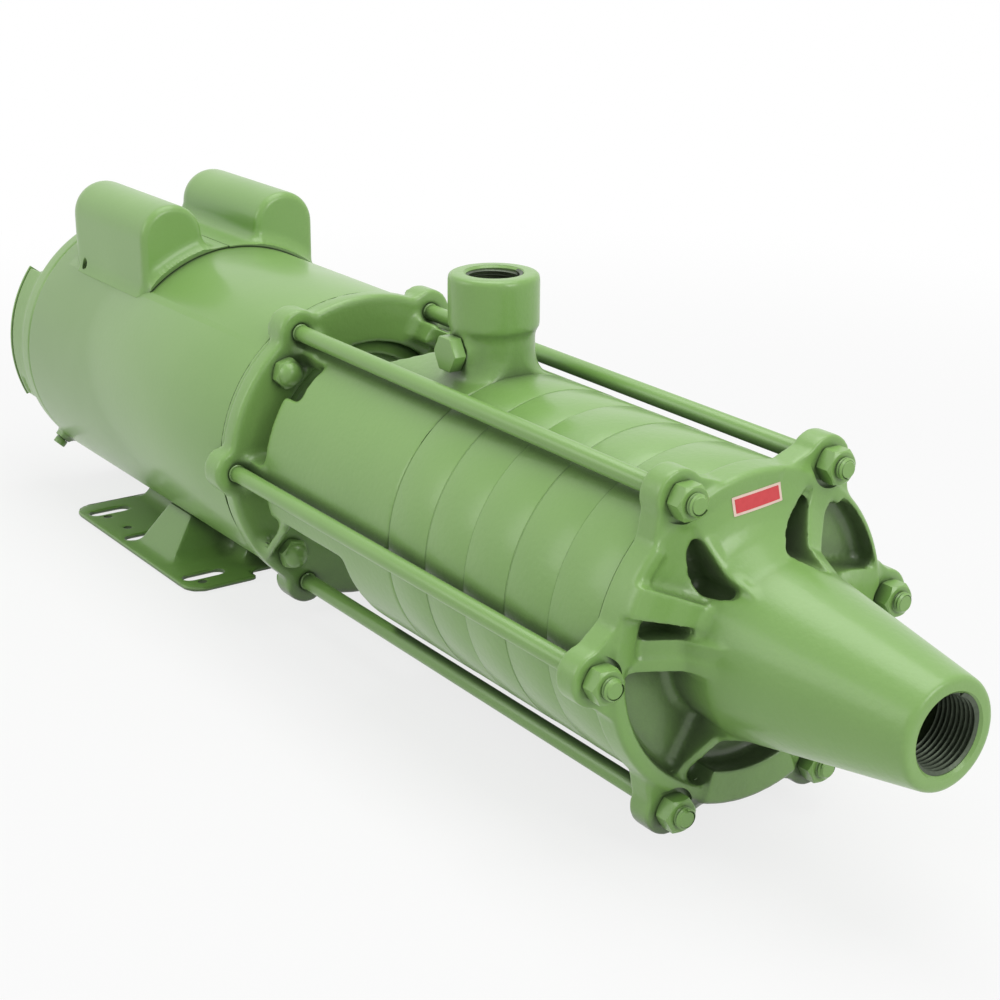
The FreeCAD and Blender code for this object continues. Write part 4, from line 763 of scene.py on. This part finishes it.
steel = finish("turned_steel")
marks = steel.stretched(0.00025, 0.01)
turned_steel = steel.surface({
    "Base Color": steel.blend(steel.noise(0.01), (0.36, 0.36, 0.37, 1), (0.52, 0.52, 0.53, 1)),
    "Metallic": 1.0,
    "Roughness": marks * 0.2 + 0.3,
    "Normal": steel.bump(marks * 0.00001),
})
rubber = finish("moulded_rubber")
moulded_rubber = rubber.surface({
    "Base Color": rubber.blend(rubber.noise(0.003), (0.012, 0.012, 0.013, 1), (0.03, 0.03, 0.031, 1)),
    "Roughness": rubber.noise(0.006) * 0.2 + 0.55,
    "Normal": rubber.bump(rubber.noise(0.0008) * 0.00003),
})
sleeve = eased(copy_of("shaft_coupling"), 0.3)
piece("coupling", sleeve, turned_steel, ["shaft_coupling"], "rotor")
lip = lathe([
    (-406.8, 7.94), (-406.8, 22), (-407.6, 23.6), (-408.8, 24), (-410, 23.6), (-410.8, 22), (-410.8, 7.94),
], closed=True, steps=96)
piece("slinger_ring", lip, moulded_rubber, ["slinger"], "rotor")


# Inside pieces keep their CAD form: laminated cores, wound copper, moulded impellers, bronze bushes,
# the seal faces, and the capacitors and start switch board.

def plain(name, dark, light, size, roughness, grain, metallic=0.0):
    """Finish of one substance, mottled between two colours, with its own grain."""
    stuff = finish(name)
    return stuff.surface({
        "Base Color": stuff.blend(stuff.noise(size, 3.0), (*dark, 1), (*light, 1)),
        "Metallic": metallic,
        "Roughness": stuff.noise(size / 3) * 0.1 + roughness,
        "Normal": stuff.bump(stuff.noise(grain) * 0.00003),
    })


laminated = finish("laminated_core")
sheets = laminated.node("TexWave", {"bands_direction": "X"}, {"Vector": laminated.place(), "Scale": 320.0})
laminated_core = laminated.surface({
    "Base Color": laminated.blend(sheets, (0.10, 0.11, 0.13, 1), (0.26, 0.27, 0.30, 1)),
    "Metallic": 0.8,
    "Roughness": laminated.noise(0.004) * 0.2 + 0.4,
    "Normal": laminated.bump(sheets * 0.00005),
})
winding = finish("wound_copper")
turns = winding.stretched(0.0009, 0.03)
wound_copper = winding.surface({
    "Base Color": winding.blend(turns, (0.22, 0.055, 0.02, 1), (0.55, 0.20, 0.09, 1)),
    "Metallic": 0.5,
    "Roughness": winding.noise(0.004) * 0.2 + 0.3,
    "Normal": winding.bump(turns * 0.0002),
})
finishes = {
    "green_casting": cast_green,
    "green_steel": sheet_green,
    "bare_steel": turned_steel,
    "seal_rubber": moulded_rubber,
    "core_steel": laminated_core,
    "winding_copper": wound_copper,
    "brass": plain("bearing_brass", (0.45, 0.29, 0.09), (0.62, 0.43, 0.16), 0.01, 0.3, 0.0005, 1.0),
    "dark_plastic": plain("moulded_resin", (0.02, 0.021, 0.022), (0.045, 0.046, 0.048), 0.008, 0.3, 0.0012),
    "black_plastic": plain("black_phenolic", (0.01, 0.01, 0.011), (0.024, 0.024, 0.026), 0.012, 0.28, 0.001),
    "seal_ceramic": plain("lapped_ceramic", (0.62, 0.60, 0.55), (0.74, 0.72, 0.67), 0.006, 0.12, 0.0004),
}
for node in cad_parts.values():
    for holder in node.material_slots:
        holder.material = finishes[holder.material.name]


# Studio: a white floor that keeps the shadow round the foot and fades to plain white further out, a
# broad soft light overhead and weaker ones from the side and the front.

FLOOR_LEVEL = -0.0889


def white_seen(surface):
    """Is 1 for a ray that sees the background, straight or in a reflection, and 0 for other rays."""
    straight = surface.node("LightPath", {}, {}, "Is Camera Ray")
    return straight + surface.node("LightPath", {}, {}, "Is Glossy Ray")


stand = bmesh.new()
bmesh.ops.create_circle(stand, cap_ends=True, segments=96, radius=12.0)
bmesh.ops.translate(stand, vec=(-0.35, 0, FLOOR_LEVEL), verts=stand.verts)
floor = put(stand, "floor")
paper = finish("white_paper")
under_pump = (-0.36, 0, FLOOR_LEVEL)
away = paper.node("VectorMath", {"operation": "DISTANCE"}, {0: paper.place(), 1: under_pump}, "Value")
lit = white_seen(paper) * (paper.step(away, 0.4, 1.1) * 0.22 + 0.78)
matt = paper.node("BsdfDiffuse", {}, {"Color": (0.7, 0.7, 0.7, 1)})
glow = paper.node("Emission", {}, {"Color": (1, 1, 1, 1), "Strength": 1.0})
paper.node("OutputMaterial", {}, {"Surface": paper.node("MixShader", {}, {0: lit, 1: matt, 2: glow})})
floor.data.materials.append(paper.owner)


def softbox(name, place, aim, width, height, power):
    """Rectangular area lamp that is turned to a spot."""
    lamp = bpy.data.lights.new(name, "AREA")
    lamp.shape = "RECTANGLE"
    lamp.size = width
    lamp.size_y = height
    lamp.energy = power
    holder = bpy.data.objects.new(name, lamp)
    holder.location = place
    holder.rotation_mode = "QUATERNION"
    holder.rotation_quaternion = (Vector(place) - Vector(aim)).to_track_quat("Z", "Y")
    bpy.context.scene.collection.objects.link(holder)


softbox("top_softbox", (-0.35, 0.15, 1.3), (-0.35, 0, 0), 1.7, 0.9, 12)
softbox("side_softbox", (-1.0, -1.5, 0.8), (-0.4, 0, 0), 1.0, 0.8, 5)
softbox("front_softbox", (1.3, 0.3, 0.9), (-0.3, 0, 0), 0.8, 0.8, 9.5)

sky = Finish(bpy.data.worlds.new("studio"))
bpy.context.scene.world = sky.owner
air = sky.blend(white_seen(sky), (0.56, 0.56, 0.56, 1), (1, 1, 1, 1))
sky.node("OutputWorld", {}, {"Surface": sky.node("Background", {}, {"Color": air})})


# Camera: a standing viewer's angle, from ahead of the suction mouth and beside it on the -Y side. It
# stands about a metre off, with a lens a little longer than a normal one.

camera = bpy.data.objects.new("camera", bpy.data.cameras.new("camera"))
bpy.context.scene.collection.objects.link(camera)
bpy.context.scene.camera = camera
camera.data.lens = 71.26
camera.data.sensor_width = 36
camera.data.shift_x = 0.0107
camera.data.shift_y = -0.0032
camera.data.clip_start = 0.05
azimuth, elevation, roll = math.radians(55.54), math.radians(19.51), math.radians(0.2)
level = math.cos(elevation)
back = Vector((math.sin(azimuth) * level, -math.cos(azimuth) * level, math.sin(elevation)))
aim, distance = Vector((-0.30197, 0, 0.00507)), 0.966
camera.location = aim + back * distance
camera.rotation_mode = "QUATERNION"
camera.rotation_quaternion = back.to_track_quat("Z", "Y") @ Matrix.Rotation(roll, 3, "Z").to_quaternion()

bpy.context.scene.view_settings.view_transform = "Standard"
